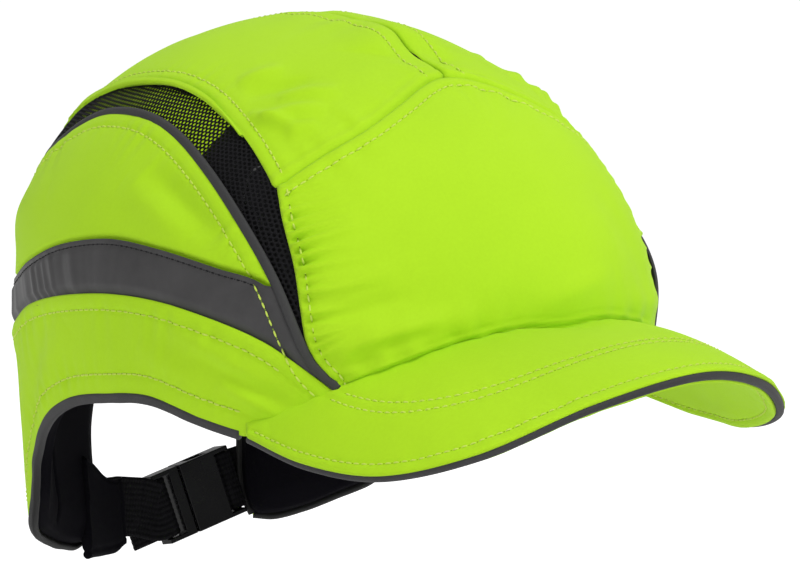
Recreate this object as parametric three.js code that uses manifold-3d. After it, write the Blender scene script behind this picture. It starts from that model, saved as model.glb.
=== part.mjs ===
// Bump cap: a fabric cap over a vented hard shell, with padding, a stiffened peak,
// and a nape strap that closes with a side-release buckle.
// Millimetres, +Z up, the peak points to -Y, the wearer's left is +X.
// The origin is the centre of the wearer's head inside the cap.
import * as THREE from 'three';
import Module from 'manifold-3d';

const wasm = await Module();
wasm.setup();

// ---- Driving dimensions ----------------------------------------------------
const DOME = { halfWidth: 89, front: 110, rear: 107.5, height: 83.5, below: 260 };
const PLAN_POWER = 2.26; // roundness of the dome seen from above
const RISE_POWER = 1.86; // roundness of the dome seen from the side
const PITCH = 7.5; // the dome leans back by this many degrees
const NAPE_PULL = 12.5; // the strap draws the two rear lobes in by this much
const GRID = 12; // degrees between the facets of every layer
const FLOOR = -60; // lowest elevation of any layer, degrees

// Depths below the outer surface of the cover: [outer face, inner face].
const COVER = [0, 1.2];
const VENT = [0.2, 1];
const STRIP = [0, 1];
const TAPE = [1.6, 2.1];
const SHELL = [2.5, 4.5];
const PAD = [4.9, 9.3];
const SWEATBAND = [4.9, 7.9];
const NAPE_PAD = [3.4, 8];
const PIPING = [-1.3, 1.4];
const BINDING = [-0.5, 1.6];

const SEAM_GAP = 0.4;
const PIPING_WIDTH = 3;
const BINDING_WIDTH = 4;
const TAPE_WIDTH = 14;
const SLOT = { width: 7, length: 22 };

const PEAK = { cover: 0.9, board: 1.6, gap: 0.65, bulge: 3.5, piping: 1.5, seat: 1.3 };
const STRAP = { width: 20, thick: 1.3 };

// The buckle's own frame: x along the strap to the left, y outward, z up.
const BUCKLE = { centre: [14.5, 90.3, -85], tilt: 13, lean: 12 };
const RAIL = { half: 12, inner: 10.4 }; // side rails beside the strap
const SOCKET = { mouth: -4.5, floor: 10.4, end: 16.5, thick: 3.75, wall: 1.3 };
const WINDOW = { start: 0.4, end: 8 };
const PLUG = { end: -16.4, base: -9, face: -5, thick: 3 };
const BAR = { width: 2.2, half: 1.2 }; // the bars that the strap loops round
const PRONG = { thick: 1.8, root: 7.4, tip: 8.2, reach: 11.5 };
const TAIL = [-18.4, -28];
const TAB = { thick: 3.4, half: 17.5 };

// ---- Seams and edges of the right side: [azimuth, elevation] in degrees ------
// Azimuth 0 is the front, -90 the wearer's right and -180 the rear.
const FRONT_SEAM = [[0, 49.8], [-5, 49.3], [-12, 47], [-21, 42], [-32, 35.2], [-50.5, 24]];
const SIDE_SEAM = [[-50.5, 24], [-36, -40]]; // one straight seam, its lower end hidden
const VENT_TOP = [
  [-41, -10], [-43.6, -2], [-46, 9], [-50.7, 22.5], [-55, 29], [-63, 37], [-79, 46],
  [-97, 49], [-113, 47.3], [-125, 43.5], [-135, 37.5], [-143, 31], [-149, 25], [-153, 19],
];
const VENT_FOOT = [
  [-38, -13], [-39, -10], [-44.6, -3.5], [-49.2, 6.3], [-56, 16], [-67.5, 27.5], [-82, 36],
  [-96, 39.3], [-108, 39], [-118, 36.6], [-126, 32.2], [-133, 26.8], [-143, 20.8], [-153, 16.5],
  [-166, 14], [-180, 13],
];
const STRIP_TOP = [
  [-43, 0], [-52, 6], [-60, 8], [-75, 11], [-90, 12], [-107, 9], [-121, 4],
  [-135, -1], [-155, -3], [-180, -3],
];
const STRIP_FOOT = [
  [-40, -11], [-46.4, -6.8], [-51.2, -4.2], [-59, -1.6], [-73, 1], [-88, 1.3], [-106, -0.9], [-121, -4.3],
  [-135, -9], [-155, -11], [-180, -11],
];
const RIM = [[0, -6], [-9, -6.3], [-20, -8.5], [-29, -12], [-37.5, -15], [-47, -19]];
const EAR_ARCH = [
  [-47, -19], [-56, -21], [-64, -20], [-77, -18], [-89, -19], [-103, -21], [-114, -25],
  [-121, -31], [-125, -37], [-131, -40.5], [-139, -42.8], [-147, -44.8], [-153, -45.6],
];
const REAR_ARCH = [[-157, -45.2], [-159, -42], [-159.6, -30], [-165, -22.5], [-180, -19.5]];
// The middles of the shell's upright air slots, on its sides and then on its crown.
const SHELL_SLOTS = [
  [-55, 22], [-75, 35], [-95, 40], [-115, 38],
  [-30, 56], [-85, 66], [-145, 56],
];
const SHELL_EDGE = [
  [0, -2], [-20, -3], [-37, -7], [-56, -11], [-80, -11], [-103, -13], [-125, -16],
  [-150, -15.5], [-180, -14],
];
const BAND_TOP = [[0, 9.5], [-20, 8], [-37, 4], [-56, 0], [-89, 0], [-112, -3]];
const BAND_FOOT = [[0, -4.5], [-20, -7], [-37, -13], [-56, -18.5], [-89, -16.5], [-112, -20.5]];
const PEAK_SEAM = [[0, -2.6], [-8.5, -2.2], [-20.4, -4.2], [-28.5, -7], [-37.5, -11]];
const PEAK_CORNER = [-55.5, -19];
const PEAK_EDGE = [
  [0, -169, -11], [-35, -160.5, -18], [-62.5, -141.5, -32], [-76.5, -115, -40.3],
  [-82, -87, -40], [-81, -57, -35.5],
];

// ---- Directions, curves and the dome ----------------------------------------
const rad = THREE.MathUtils.degToRad;

function ray([azimuth, elevation]) {
  const flat = Math.cos(rad(elevation));
  const turn = rad(azimuth);
  return new THREE.Vector3(
    Math.sin(turn) * flat, -Math.cos(turn) * flat, Math.sin(rad(elevation)));
}

function domeRadius(d) {
  const lean = rad(PITCH);
  const y = d.y * Math.cos(lean) + d.z * Math.sin(lean);
  const z = d.z * Math.cos(lean) - d.y * Math.sin(lean);
  const depth = y < 0 ? DOME.front : DOME.rear;
  const height = z < 0 ? DOME.below : DOME.height;
  const plan = Math.abs(d.x / DOME.halfWidth) ** PLAN_POWER + Math.abs(y / depth) ** PLAN_POWER;
  const rise = plan ** (RISE_POWER / PLAN_POWER) + Math.abs(z / height) ** RISE_POWER;
  const radius = rise ** (-1 / RISE_POWER);
  const azimuth = Math.abs(THREE.MathUtils.radToDeg(Math.atan2(d.x, -d.y)));
  const behind = THREE.MathUtils.smoothstep(azimuth, 126, 158);
  const low = THREE.MathUtils.smoothstep(-radius * d.z, 15, 50);
  return radius - (NAPE_PULL * behind * low) / Math.max(Math.hypot(d.x, d.y), 0.3);
}

// Point at a depth below the cover, measured square to a wall that stands upright.
function onDome(d, depth) {
  const slant = d.z < 0 ? 1 / Math.hypot(d.x, d.y) : 1;
  return d.clone().multiplyScalar(domeRadius(d) - depth * slant);
}

const mirrored = (points) => points.map(([first, ...rest]) => [-first, ...rest]);
const bothSides = (points) => [...mirrored(points).reverse(), ...points.slice(1)];

function seam(points, count = 12) {
  const curve = new THREE.CatmullRomCurve3(points.map(ray), false, 'centripetal');
  return curve.getSpacedPoints(count).map((p) => p.normalize());
}

// The same curve moved sideways on the dome by a distance in millimetres.
function shifted(curve, distance) {
  return curve.map((d, i) => {
    const along = curve[Math.min(i + 1, curve.length - 1)].clone();
    along.sub(curve[Math.max(i - 1, 0)]);
    const side = new THREE.Vector3().crossVectors(d, along).normalize();
    return d.clone().addScaledVector(side, distance / domeRadius(d)).normalize();
  });
}

// The same curve carried on a little past both ends.
function extended(curve, by = 0.12) {
  const past = (end, before) => end.clone().addScaledVector(
    end.clone().sub(before).normalize(), by).normalize();
  const last = curve.length - 1;
  return [past(curve[0], curve[1]), ...curve, past(curve[last], curve[last - 1])];
}

// ---- Solids -----------------------------------------------------------------
function solid(points, triangles) {
  let volume = 0;
  for (const [a, b, c] of triangles) {
    volume += points[a].dot(new THREE.Vector3().crossVectors(points[b], points[c]));
  }
  const order = volume < 0 ? triangles.map(([a, b, c]) => [a, c, b]) : triangles;
  const vertProperties = new Float32Array(points.flatMap((p) => p.toArray()));
  const triVerts = new Uint32Array(order.flat());
  return new wasm.Manifold(new wasm.Mesh({ numProp: 3, vertProperties, triVerts }));
}

// A solid through a row of polygons that all have the same number of corners.
function loft(rows, closed = false) {
  const corners = rows[0].length;
  const triangles = [];
  const steps = closed ? rows.length : rows.length - 1;
  for (let i = 0; i < steps; i += 1) {
    const next = ((i + 1) % rows.length) * corners;
    for (let j = 0; j < corners; j += 1) {
      const k = (j + 1) % corners;
      triangles.push([i * corners + j, next + j, next + k]);
      triangles.push([i * corners + j, next + k, i * corners + k]);
    }
  }
  if (!closed) {
    const last = (rows.length - 1) * corners;
    for (let j = 1; j < corners - 1; j += 1) {
      triangles.push([0, j, j + 1], [last, last + j + 1, last + j]);
    }
  }
  return solid(rows.flat(), triangles);
}

// Everything between two curves of directions, from near the origin to far outside.
function wedge(upper, lower, closed = false) {
  const rows = upper.map((a, i) => [
    a.clone().multiplyScalar(20), a.clone().multiplyScalar(330),
    lower[i].clone().multiplyScalar(330), lower[i].clone().multiplyScalar(20)]);
  return loft(rows, closed);
}

function blade(curve, width) {
  return wedge(shifted(curve, width / 2), shifted(curve, -width / 2));
}

// The gap at a seam, cut a little past both ends of the seam.
function seamCut(curve, width = SEAM_GAP) {
  return blade(extended(curve), width);
}

// A cord or tape that follows a curve on the dome between two depths.
function ribbon(curve, width, [outer, inner]) {
  const left = shifted(curve, width / 2);
  const right = shifted(curve, -width / 2);
  return loft(curve.map((d, i) => [
    onDome(left[i], inner), onDome(left[i], (outer + inner) / 2),
    onDome(d, outer), onDome(right[i], (outer + inner) / 2), onDome(right[i], inner)]));
}

// A closed skin of the whole dome between two depths.
function layer([outer, inner]) {
  const around = Math.round(360 / GRID);
  const rings = Math.round((90 - FLOOR) / GRID);
  const points = [];
  for (const depth of [outer, inner]) {
    for (let j = 0; j < rings; j += 1) {
      for (let i = 0; i < around; i += 1) {
        points.push(onDome(ray([i * GRID, FLOOR + (j * (90 - FLOOR)) / rings]), depth));
      }
    }
    points.push(onDome(new THREE.Vector3(0, 0, 1), depth));
  }
  const inside = rings * around + 1;
  const triangles = [];
  for (let i = 0; i < around; i += 1) {
    const k = (i + 1) % around;
    for (let j = 0; j < rings - 1; j += 1) {
      const a = j * around + i;
      const b = j * around + k;
      triangles.push([a, b, b + around], [a, b + around, a + around]);
      triangles.push([inside + a, inside + b + around, inside + b]);
      triangles.push([inside + a, inside + a + around, inside + b + around]);
    }
    const top = (rings - 1) * around;
    triangles.push([top + i, top + k, rings * around]);
    triangles.push([inside + top + i, inside + rings * around, inside + top + k]);
    triangles.push([i, inside + k, k], [i, inside + i, inside + k]);
  }
  return solid(points, triangles);
}

// A sheet between two grids of points that have the same rows and columns.
function sheet(front, back) {
  const [rows, columns] = [front.length, front[0].length];
  const behind = rows * columns;
  const triangles = [];
  for (let i = 0; i < rows - 1; i += 1) {
    for (let j = 0; j < columns - 1; j += 1) {
      const a = i * columns + j;
      triangles.push([a, a + 1, a + columns + 1], [a, a + columns + 1, a + columns]);
      triangles.push([behind + a, behind + a + columns + 1, behind + a + 1]);
      triangles.push([behind + a, behind + a + columns, behind + a + columns + 1]);
    }
  }
  const rim = [];
  for (let j = 0; j < columns - 1; j += 1) rim.push(j);
  for (let i = 0; i < rows - 1; i += 1) rim.push(i * columns + columns - 1);
  for (let j = columns - 1; j > 0; j -= 1) rim.push((rows - 1) * columns + j);
  for (let i = rows - 1; i > 0; i -= 1) rim.push(i * columns);
  rim.forEach((a, i) => {
    const b = rim[(i + 1) % rim.length];
    triangles.push([a, behind + a, behind + b], [a, behind + b, b]);
  });
  return solid([...front.flat(), ...back.flat()], triangles);
}

function largest(shape) {
  return shape.decompose().reduce((a, b) => (b.volume() > a.volume() ? b : a));
}

function cutAll(shape, cutters) {
  return cutters.reduce((left, cutter) => left.subtract(cutter), shape);
}

function fromGeometry(geometry) {
  const flat = geometry.index ? geometry.toNonIndexed() : geometry;
  const position = flat.getAttribute('position');
  const lookup = new Map();
  const points = [];
  const corners = [];
  for (let i = 0; i < position.count; i += 1) {
    const p = new THREE.Vector3().fromBufferAttribute(position, i);
    const key = p.toArray().map((value) => Math.round(value * 1e4)).join();
    if (!lookup.has(key)) {
      lookup.set(key, points.length);
      points.push(p);
    }
    corners.push(lookup.get(key));
  }
  const triangles = [];
  for (let i = 0; i < corners.length; i += 3) {
    const [a, b, c] = corners.slice(i, i + 3);
    if (a !== b && b !== c && c !== a) triangles.push([a, b, c]);
  }
  return solid(points, triangles);
}

// A plate drawn as an outline across and up, with its thickness along the local y.
function plate(outline, thick, holes = []) {
  const shape = new THREE.Shape(outline.map(([x, z]) => new THREE.Vector2(x, z)));
  for (const hole of holes) {
    shape.holes.push(new THREE.Path(hole.map(([x, z]) => new THREE.Vector2(x, z))));
  }
  const geometry = new THREE.ExtrudeGeometry(shape, { depth: thick, bevelEnabled: false });
  geometry.translate(0, 0, -thick / 2);
  geometry.rotateX(Math.PI / 2);
  return geometry;
}

function block(x, y, z) {
  const corners = [[x[0], z[0]], [x[1], z[0]], [x[1], z[1]], [x[0], z[1]]];
  const geometry = plate(corners, y[1] - y[0]);
  geometry.translate(0, (y[0] + y[1]) / 2, 0);
  return fromGeometry(geometry);
}

// ---- The assembly -----------------------------------------------------------
const group = new THREE.Group();
group.name = 'bump_cap';

function material(color, roughness, metalness = 0) {
  return new THREE.MeshStandardMaterial({ color, roughness, metalness, flatShading: true });
}
const finish = {
  yellow: () => material(0xb9e832, 0.8),
  mesh: () => material(0x15141a, 0.9),
  grey: () => material(0x4a4a4a, 0.6),
  reflective: () => material(0x5a5a5a, 0.4, 0.2),
  black: () => material(0x0e0d12, 0.85),
  foam: () => material(0x24252a, 0.95),
  shell: () => material(0x18191c, 0.45),
  board: () => material(0xd8d8d4, 0.6),
  plastic: () => material(0x0a0a0c, 0.25),
};

function geometryOf(shape, flip = 1) {
  const mesh = shape.getMesh();
  const geometry = new THREE.BufferGeometry();
  const position = Float32Array.from(mesh.vertProperties);
  for (let i = 0; i < position.length; i += 3) position[i] *= flip;
  const index = Array.from(mesh.triVerts);
  if (flip < 0) index.reverse();
  geometry.setAttribute('position', new THREE.BufferAttribute(position, 3));
  geometry.setIndex(index);
  return geometry;
}

function add(name, shape, look, flip = 1) {
  const mesh = new THREE.Mesh(geometryOf(shape, flip), look());
  mesh.name = name;
  group.add(mesh);
}

// A piece of the right side and its mirror image on the left.
function addPair(name, shape, look) {
  add(`${name}_right`, shape, look);
  add(`${name}_left`, shape, look, -1);
}

// ---- Curves and cutters that several pieces share ----------------------------
const steps = (count) => [...Array(count + 1).keys()];

// A straight seam between two directions.
function arc(from, to, count = 8) {
  const [a, b] = [ray(from), ray(to)];
  return steps(count).map((i) => a.clone().lerp(b, i / count).normalize());
}

// The line over the middle of the head: 0 is the front, 90 the top, 180 the rear.
function overTop(from, to, count = 14) {
  return steps(count).map((i) => {
    const angle = rad(from + ((to - from) * i) / count);
    return new THREE.Vector3(0, -Math.cos(angle), Math.sin(angle));
  });
}

// Everything under an edge that runs steadily from front to rear.
function below(points, count = 40) {
  const edge = new THREE.CatmullRomCurve3(points.map(ray), false, 'centripetal');
  const upper = edge.getPoints(count).map((p) => p.normalize());
  const lower = upper.map((d, i) => ray(
    [THREE.MathUtils.radToDeg(Math.atan2(d.x, -d.y)) - i * 0.01, -72]));
  return wedge(upper, lower);
}

const openEdge = [...RIM.slice(0, -1), ...EAR_ARCH, ...REAR_ARCH];
const ventTop = seam(VENT_TOP, 16);
const ventFoot = seam(VENT_FOOT.slice(0, -2), 16);
const piping = seam(VENT_FOOT, 24);
const stripTop = seam(STRIP_TOP);
const stripFoot = seam(STRIP_FOOT);
const crownFoot = seam([...VENT_TOP.slice(3), ...VENT_FOOT.slice(-2)], 14);
const earEdge = seam([...EAR_ARCH.slice(1), REAR_ARCH[0]], 22);
const rearEdge = seam([...REAR_ARCH.slice(1), ...mirrored(REAR_ARCH.slice(1, -1)).reverse()], 20);
const sideSeam = arc(...SIDE_SEAM, 3);
const frontSeam = seam(bothSides(FRONT_SEAM), 16);

const frontRegion = wedge(frontSeam, seam(bothSides([[0, -40], [-18, -40], [-36, -40]]), 16));
const ventRegion = wedge(ventTop, ventFoot);
const centreCut = blade(overTop(-60, 240, 10), SEAM_GAP);
const sideCut = seamCut(sideSeam);
const frontCut = seamCut(frontSeam);
const ventCut = seamCut(ventTop);
const pipingCut = seamCut(piping, PIPING_WIDTH + 0.8);
const openCut = below(openEdge);
const bindingCut = seamCut(earEdge, BINDING_WIDTH + 0.8);
const rearCut = seamCut(rearEdge, BINDING_WIDTH + 0.8);
const peakCut = below([[-20, -2.4], [-30, -6.2], [-37.5, -9.4], [-50, -14]], 6);

const flipped = (shape) => fromGeometry(geometryOf(shape, -1));

// ---- Fabric cover -------------------------------------------------------------
const cover = layer(COVER);

function frontPanel() {
  const sides = [sideCut, ventRegion, ventCut, pipingCut];
  const underRim = below(bothSides([...RIM, [-60, -24]]));
  return cutAll(cover.intersect(frontRegion), [...sides, ...sides.map(flipped), frontCut, underRim]);
}

function crownPanel() {
  const region = wedge(overTop(36, 167, 14), crownFoot);
  return cutAll(cover.intersect(region), [frontRegion, frontCut, ventRegion, ventCut,
    pipingCut, centreCut]);
}

function upperSidePanel() {
  const region = wedge(seam(VENT_FOOT), stripTop);
  return cutAll(cover.intersect(region), [pipingCut, seamCut(stripTop), centreCut]);
}

function lowerSidePanel() {
  const foot = STRIP_FOOT.map(([azimuth], i) => [azimuth - i * 0.01, -52]);
  const region = wedge(stripFoot, seam(foot));
  return cutAll(cover.intersect(region), [pipingCut, seamCut(stripFoot), frontRegion,
    sideCut, openCut, bindingCut, rearCut, centreCut]);
}

function reflectiveStrip() {
  return cutAll(layer(STRIP).intersect(wedge(stripTop, stripFoot)), [pipingCut, centreCut,
    seamCut(stripTop), seamCut(stripFoot)]);
}

function ventMesh() {
  return cutAll(layer(VENT).intersect(ventRegion), [ventCut, pipingCut, sideCut]);
}

add('front_panel', largest(frontPanel()), finish.yellow);
addPair('crown_panel', largest(crownPanel()), finish.yellow);
addPair('upper_side_panel', largest(upperSidePanel()), finish.yellow);
addPair('lower_side_panel', largest(lowerSidePanel()), finish.yellow);
addPair('reflective_strip', largest(reflectiveStrip()), finish.reflective);
addPair('vent_mesh', largest(ventMesh()), finish.mesh);
addPair('vent_piping', largest(cutAll(ribbon(piping, PIPING_WIDTH, PIPING),
  [centreCut, peakCut])), finish.grey);
addPair('ear_arch_binding', ribbon(earEdge, BINDING_WIDTH, BINDING), finish.grey);
add('rear_arch_binding', ribbon(rearEdge, BINDING_WIDTH, BINDING), finish.grey);
add('crown_seam_tape', layer(TAPE).intersect(blade(overTop(52, 190, 8), TAPE_WIDTH)),
  finish.black);

// ---- Hard shell, pads and bands -----------------------------------------------
function slot([azimuth, elevation]) {
  const half = (SLOT.length / 2 / DOME.front) * (180 / Math.PI);
  return blade(arc([azimuth, elevation - half], [azimuth, elevation + half], 1), SLOT.width);
}

function hardShell() {
  const slots = [...SHELL_SLOTS, ...mirrored(SHELL_SLOTS)].map(slot);
  return cutAll(layer(SHELL), [below(SHELL_EDGE, 14), below(mirrored(SHELL_EDGE), 14), ...slots]);
}

// A pad that fills a patch of the dome between two edges.
function pad(top, foot) {
  return largest(layer(PAD).intersect(wedge(seam(top, 4), seam(foot, 4))));
}

const bandTop = seam(bothSides(BAND_TOP), 16);
const bandFoot = seam(bothSides(BAND_FOOT), 16);
add('hard_shell', largest(hardShell()), finish.shell);
add('sweatband', layer(SWEATBAND).intersect(wedge(bandTop, bandFoot)), finish.black);
add('front_pad', pad([[-42, 42], [0, 47], [42, 42]], [[-42, 15], [0, 16], [42, 15]]),
  finish.foam);
add('rear_pad', pad([[-215, 42], [-180, 46], [-145, 42]], [[-215, 2], [-180, 2], [-145, 2]]),
  finish.foam);
addPair('side_pad', pad([[-124, 22], [-90, 24], [-54, 22]], [[-124, 6], [-90, 5], [-54, 6]]),
  finish.foam);
add('crown_pad', layer(PAD).intersect(blade(overTop(68, 116, 4), 52)), finish.foam);

function napePad() {
  const region = wedge(seam([[-117, -18.5], [-162, -18.5]], 4), seam([[-117, -54], [-162, -54]], 4));
  return largest(cutAll(layer(NAPE_PAD).intersect(region),
    [openCut, seamCut(rearEdge, 1.2), seamCut(earEdge, 1.2)]));
}
addPair('nape_pad', napePad(), finish.black);

// ---- Peak ---------------------------------------------------------------------
const peakSeam = bothSides([...PEAK_SEAM, PEAK_CORNER]).map((place) => onDome(ray(place), -PEAK.seat));
const peakBase = new THREE.CatmullRomCurve3(peakSeam, false, 'centripetal');
const peakEdge = new THREE.CatmullRomCurve3(
  bothSides(PEAK_EDGE).map((p) => new THREE.Vector3(...p)), false, 'centripetal');

// A point on the top of the peak: u runs across it, v from the cap to the edge.
function peakTop(u, v) {
  const rise = PEAK.bulge * 4 * v * (1 - v) * Math.sin(Math.PI * u);
  const point = peakBase.getPointAt(u).lerp(peakEdge.getPointAt(u), v);
  point.z += rise;
  return point;
}

function peakPoint(u, v, depth) {
  const step = 0.01;
  const [u0, v0] = [Math.min(u, 1 - step), Math.min(v, 1 - step)];
  const across = peakTop(u0 + step, v).sub(peakTop(u0, v));
  const outward = peakTop(u, v0 + step).sub(peakTop(u, v0));
  const normal = across.cross(outward).normalize();
  return peakTop(u, v).addScaledVector(normal, normal.z > 0 ? -depth : depth);
}

// A curved sheet of the peak, inset from its seam, its edge and its corners.
function peakSheet([outer, inner], seamInset, edgeInset, cornerInset, across = 22, along = 4) {
  const width = (u) => peakBase.getPointAt(u).distanceTo(peakEdge.getPointAt(u));
  const faces = [outer, inner].map((depth) => steps(across).map((i) => {
    const u = cornerInset + (1 - 2 * cornerInset) * (i / across);
    const [start, end] = [seamInset / width(u), 1 - edgeInset / width(u)];
    return steps(along).map((j) => peakPoint(u, start + (end - start) * (j / along), depth));
  }));
  return sheet(...faces);
}

const PEAK_TOP = [0, PEAK.cover];
const PEAK_BOARD = [PEAK_TOP[1] + PEAK.gap, PEAK_TOP[1] + PEAK.gap + PEAK.board];
const PEAK_UNDER = [PEAK_BOARD[1] + PEAK.gap, PEAK_BOARD[1] + PEAK.gap + PEAK.cover];
add('peak_top_cover', peakSheet(PEAK_TOP, 0.6, 2, 0.03), finish.yellow);
add('peak_board', peakSheet(PEAK_BOARD, 4.5, 4.5, 0.11), finish.board);
add('peak_under_cover', peakSheet(PEAK_UNDER, 5, 2.2, 0.06), finish.yellow);

function peakPiping() {
  const middle = (PEAK_TOP[0] + PEAK_UNDER[1]) / 2;
  const line = steps(30).map((i) => peakPoint(0.02 + (0.96 * i) / 30, 1, middle));
  const path = new THREE.CatmullRomCurve3(line, false, 'centripetal');
  const round = new THREE.Shape(steps(7).map((i) => new THREE.Vector2(
    PEAK.piping * Math.cos((i * Math.PI) / 4), PEAK.piping * Math.sin((i * Math.PI) / 4))));
  return fromGeometry(new THREE.ExtrudeGeometry(round,
    { steps: 30, bevelEnabled: false, extrudePath: path }));
}
add('peak_piping', peakPiping(), finish.grey);

// ---- Nape strap and buckle ------------------------------------------------------
const buckleFrame = new THREE.Object3D();
buckleFrame.rotation.set(-rad(BUCKLE.lean), -rad(BUCKLE.tilt), 0, 'YXZ');
buckleFrame.position.set(...BUCKLE.centre);
buckleFrame.updateMatrix();
const inBuckle = (x, y, z = 0) => new THREE.Vector3(x, y, z).applyMatrix4(buckleFrame.matrix);
const buckleUp = new THREE.Vector3(0, 0, 1).transformDirection(buckleFrame.matrix);
const upright = new THREE.Vector3(0, 0.08, 1).normalize();

// A flat strap through places, each with its own direction across the strap.
function strap(places, width = STRAP.width, thick = STRAP.thick) {
  const normals = places.slice(1).map(([point, up], i) => new THREE.Vector3()
    .crossVectors(point.clone().sub(places[i][0]), up).normalize());
  return loft(places.map(([point, up], i) => {
    const before = normals[Math.max(i - 1, 0)];
    const after = normals[Math.min(i, normals.length - 1)];
    const out = before.clone().add(after).normalize();
    out.multiplyScalar(thick / 2 / out.dot(after));
    const across = up.clone().multiplyScalar(width / 2);
    return [[1, 1], [1, -1], [-1, -1], [-1, 1]].map(
      ([a, b]) => point.clone().addScaledVector(out, a).addScaledVector(across, b));
  }));
}

// The room that one lobe takes between two depths.
const lobe = (depths) => layer(depths).subtract(openCut);
const loopHalf = BAR.half + 0.4 + STRAP.thick / 2;

function strapTab() {
  const line = [[-45, 73.6, -80], [-38, 78.2, -80.5], [-31, 82.4, -81.5], [-24, 85.6, -82],
    [-18, 87.4, -82]];
  const whole = strap(line.map((p) => [new THREE.Vector3(...p), upright]), 2 * TAB.half, TAB.thick);
  return largest(whole.subtract(lobe([-1, 8.8])));
}

function strapElastic() {
  const barInside = PLUG.end + BAR.width + 0.4 + STRAP.thick / 2;
  return strap([
    ...[[-31, 85.1, -84.2], [-24, 88.3, -84.6], [-18, 90.1, -85], [-9, 89.6, -86.4]].map(
      (p) => [new THREE.Vector3(...p), upright]),
    [inBuckle(PLUG.end - 1, -loopHalf), buckleUp], [inBuckle(barInside, -loopHalf), buckleUp],
    [inBuckle(barInside, loopHalf), buckleUp], [inBuckle(PLUG.end - 1.6, loopHalf), buckleUp]]);
}

function strapTail() {
  return strap(TAIL.map((x) => [inBuckle(x, loopHalf), buckleUp]));
}

function strapWebbing() {
  const barInside = SOCKET.end - BAR.width - 0.4 - STRAP.thick / 2;
  const whole = strap([
    [inBuckle(SOCKET.end + 1, -loopHalf), buckleUp], [inBuckle(barInside, -loopHalf), buckleUp],
    [inBuckle(barInside, loopHalf), buckleUp], [inBuckle(SOCKET.end + 0.6, loopHalf), buckleUp],
    [inBuckle(19.4, -0.4), buckleUp], [inBuckle(27, -4.8), upright]]);
  const cutters = [[-1, 1.55], [3.1, 9]].map((depths) => flipped(lobe(depths)));
  const room = [BINDING[0] - 0.5, BINDING[1] + 0.35];
  const edging = [rearEdge, earEdge].map(
    (edge) => flipped(ribbon(extended(edge, 0.02), BINDING_WIDTH + 0.8, room)));
  return largest(cutAll(whole, [...cutters, ...edging]));
}

function inFrame(shape) {
  return fromGeometry(geometryOf(shape).applyMatrix4(buckleFrame.matrix));
}

function buckleSocket() {
  const outer = block([SOCKET.mouth, SOCKET.end], [-SOCKET.thick, SOCKET.thick],
    [-RAIL.half, RAIL.half]);
  const inner = SOCKET.thick - SOCKET.wall;
  const hollow = block([SOCKET.mouth - 1, SOCKET.floor - 1.6], [-inner, inner],
    [-RAIL.inner, RAIL.inner]);
  const windows = block([WINDOW.start, WINDOW.end], [-inner, inner], [-20, 20]);
  const strapSlot = block([SOCKET.floor, SOCKET.end - BAR.width], [-9, 9],
    [-RAIL.inner, RAIL.inner]);
  const overBar = [-1, 1].map((side) => block([SOCKET.floor, SOCKET.end + 1],
    [side < 0 ? -9 : BAR.half, side < 0 ? -BAR.half : 9], [-RAIL.inner, RAIL.inner]));
  return cutAll(outer, [hollow, windows, strapSlot, ...overBar]);
}

function bucklePlug() {
  const inner = SOCKET.thick - SOCKET.wall - 0.4;
  const base = block([PLUG.end, PLUG.face], [-PLUG.thick, PLUG.thick], [-RAIL.half, RAIL.half]);
  const strapSlot = block([PLUG.end + BAR.width, PLUG.base], [-9, 9], [-RAIL.inner, RAIL.inner]);
  const overBar = [-1, 1].map((side) => block([PLUG.end - 1, PLUG.base],
    [side < 0 ? -9 : BAR.half, side < 0 ? -BAR.half : 9], [-RAIL.inner, RAIL.inner]));
  const guide = block([PLUG.face - 0.5, SOCKET.floor - 3.4], [-inner, inner], [-2, 2]);
  return cutAll(base, [strapSlot, ...overBar]).add(guide);
}

// A sprung arm with a head that stands in the socket's window.
function buckleProng(side) {
  const { root, tip, thick, reach } = PRONG;
  const start = PLUG.face + 0.4;
  const outline = [[start, root - thick], [start, root], [WINDOW.start + 0.5, tip],
    [WINDOW.start + 0.9, reach], [WINDOW.end - 3.4, reach], [WINDOW.end - 0.9, tip],
    [WINDOW.end - 1.4, tip - thick]];
  const inner = SOCKET.thick - SOCKET.wall - 0.4;
  return fromGeometry(plate(outline.map(([x, z]) => [x, side * z]), 2 * inner));
}

add('strap_tab', strapTab(), finish.black);
add('strap_elastic', strapElastic(), finish.black);
add('strap_tail', strapTail(), finish.black);
add('strap_webbing', strapWebbing(), finish.black);
add('buckle_socket', inFrame(buckleSocket()), finish.plastic);
add('buckle_plug', inFrame(bucklePlug()), finish.plastic);
add('buckle_prong_upper', inFrame(buckleProng(1)), finish.plastic);
add('buckle_prong_lower', inFrame(buckleProng(-1)), finish.plastic);

export default group;
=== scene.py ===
"""Bump cap: the looks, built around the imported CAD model.

Lengths inside the shape functions are millimetres, and MM turns them into Blender's metres.
The cap faces -Y, and the wearer's right side has negative X. Every cloth panel and pad is a
grid of directions from the head's centre, laid on the dome and given its seams and relief. The
peak and the strap have surfaces of their own, and the buckle's parts are the CAD's.
"""
import math

import bmesh
import bpy
import numpy as np
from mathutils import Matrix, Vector
from mathutils.bvhtree import BVHTree


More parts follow.
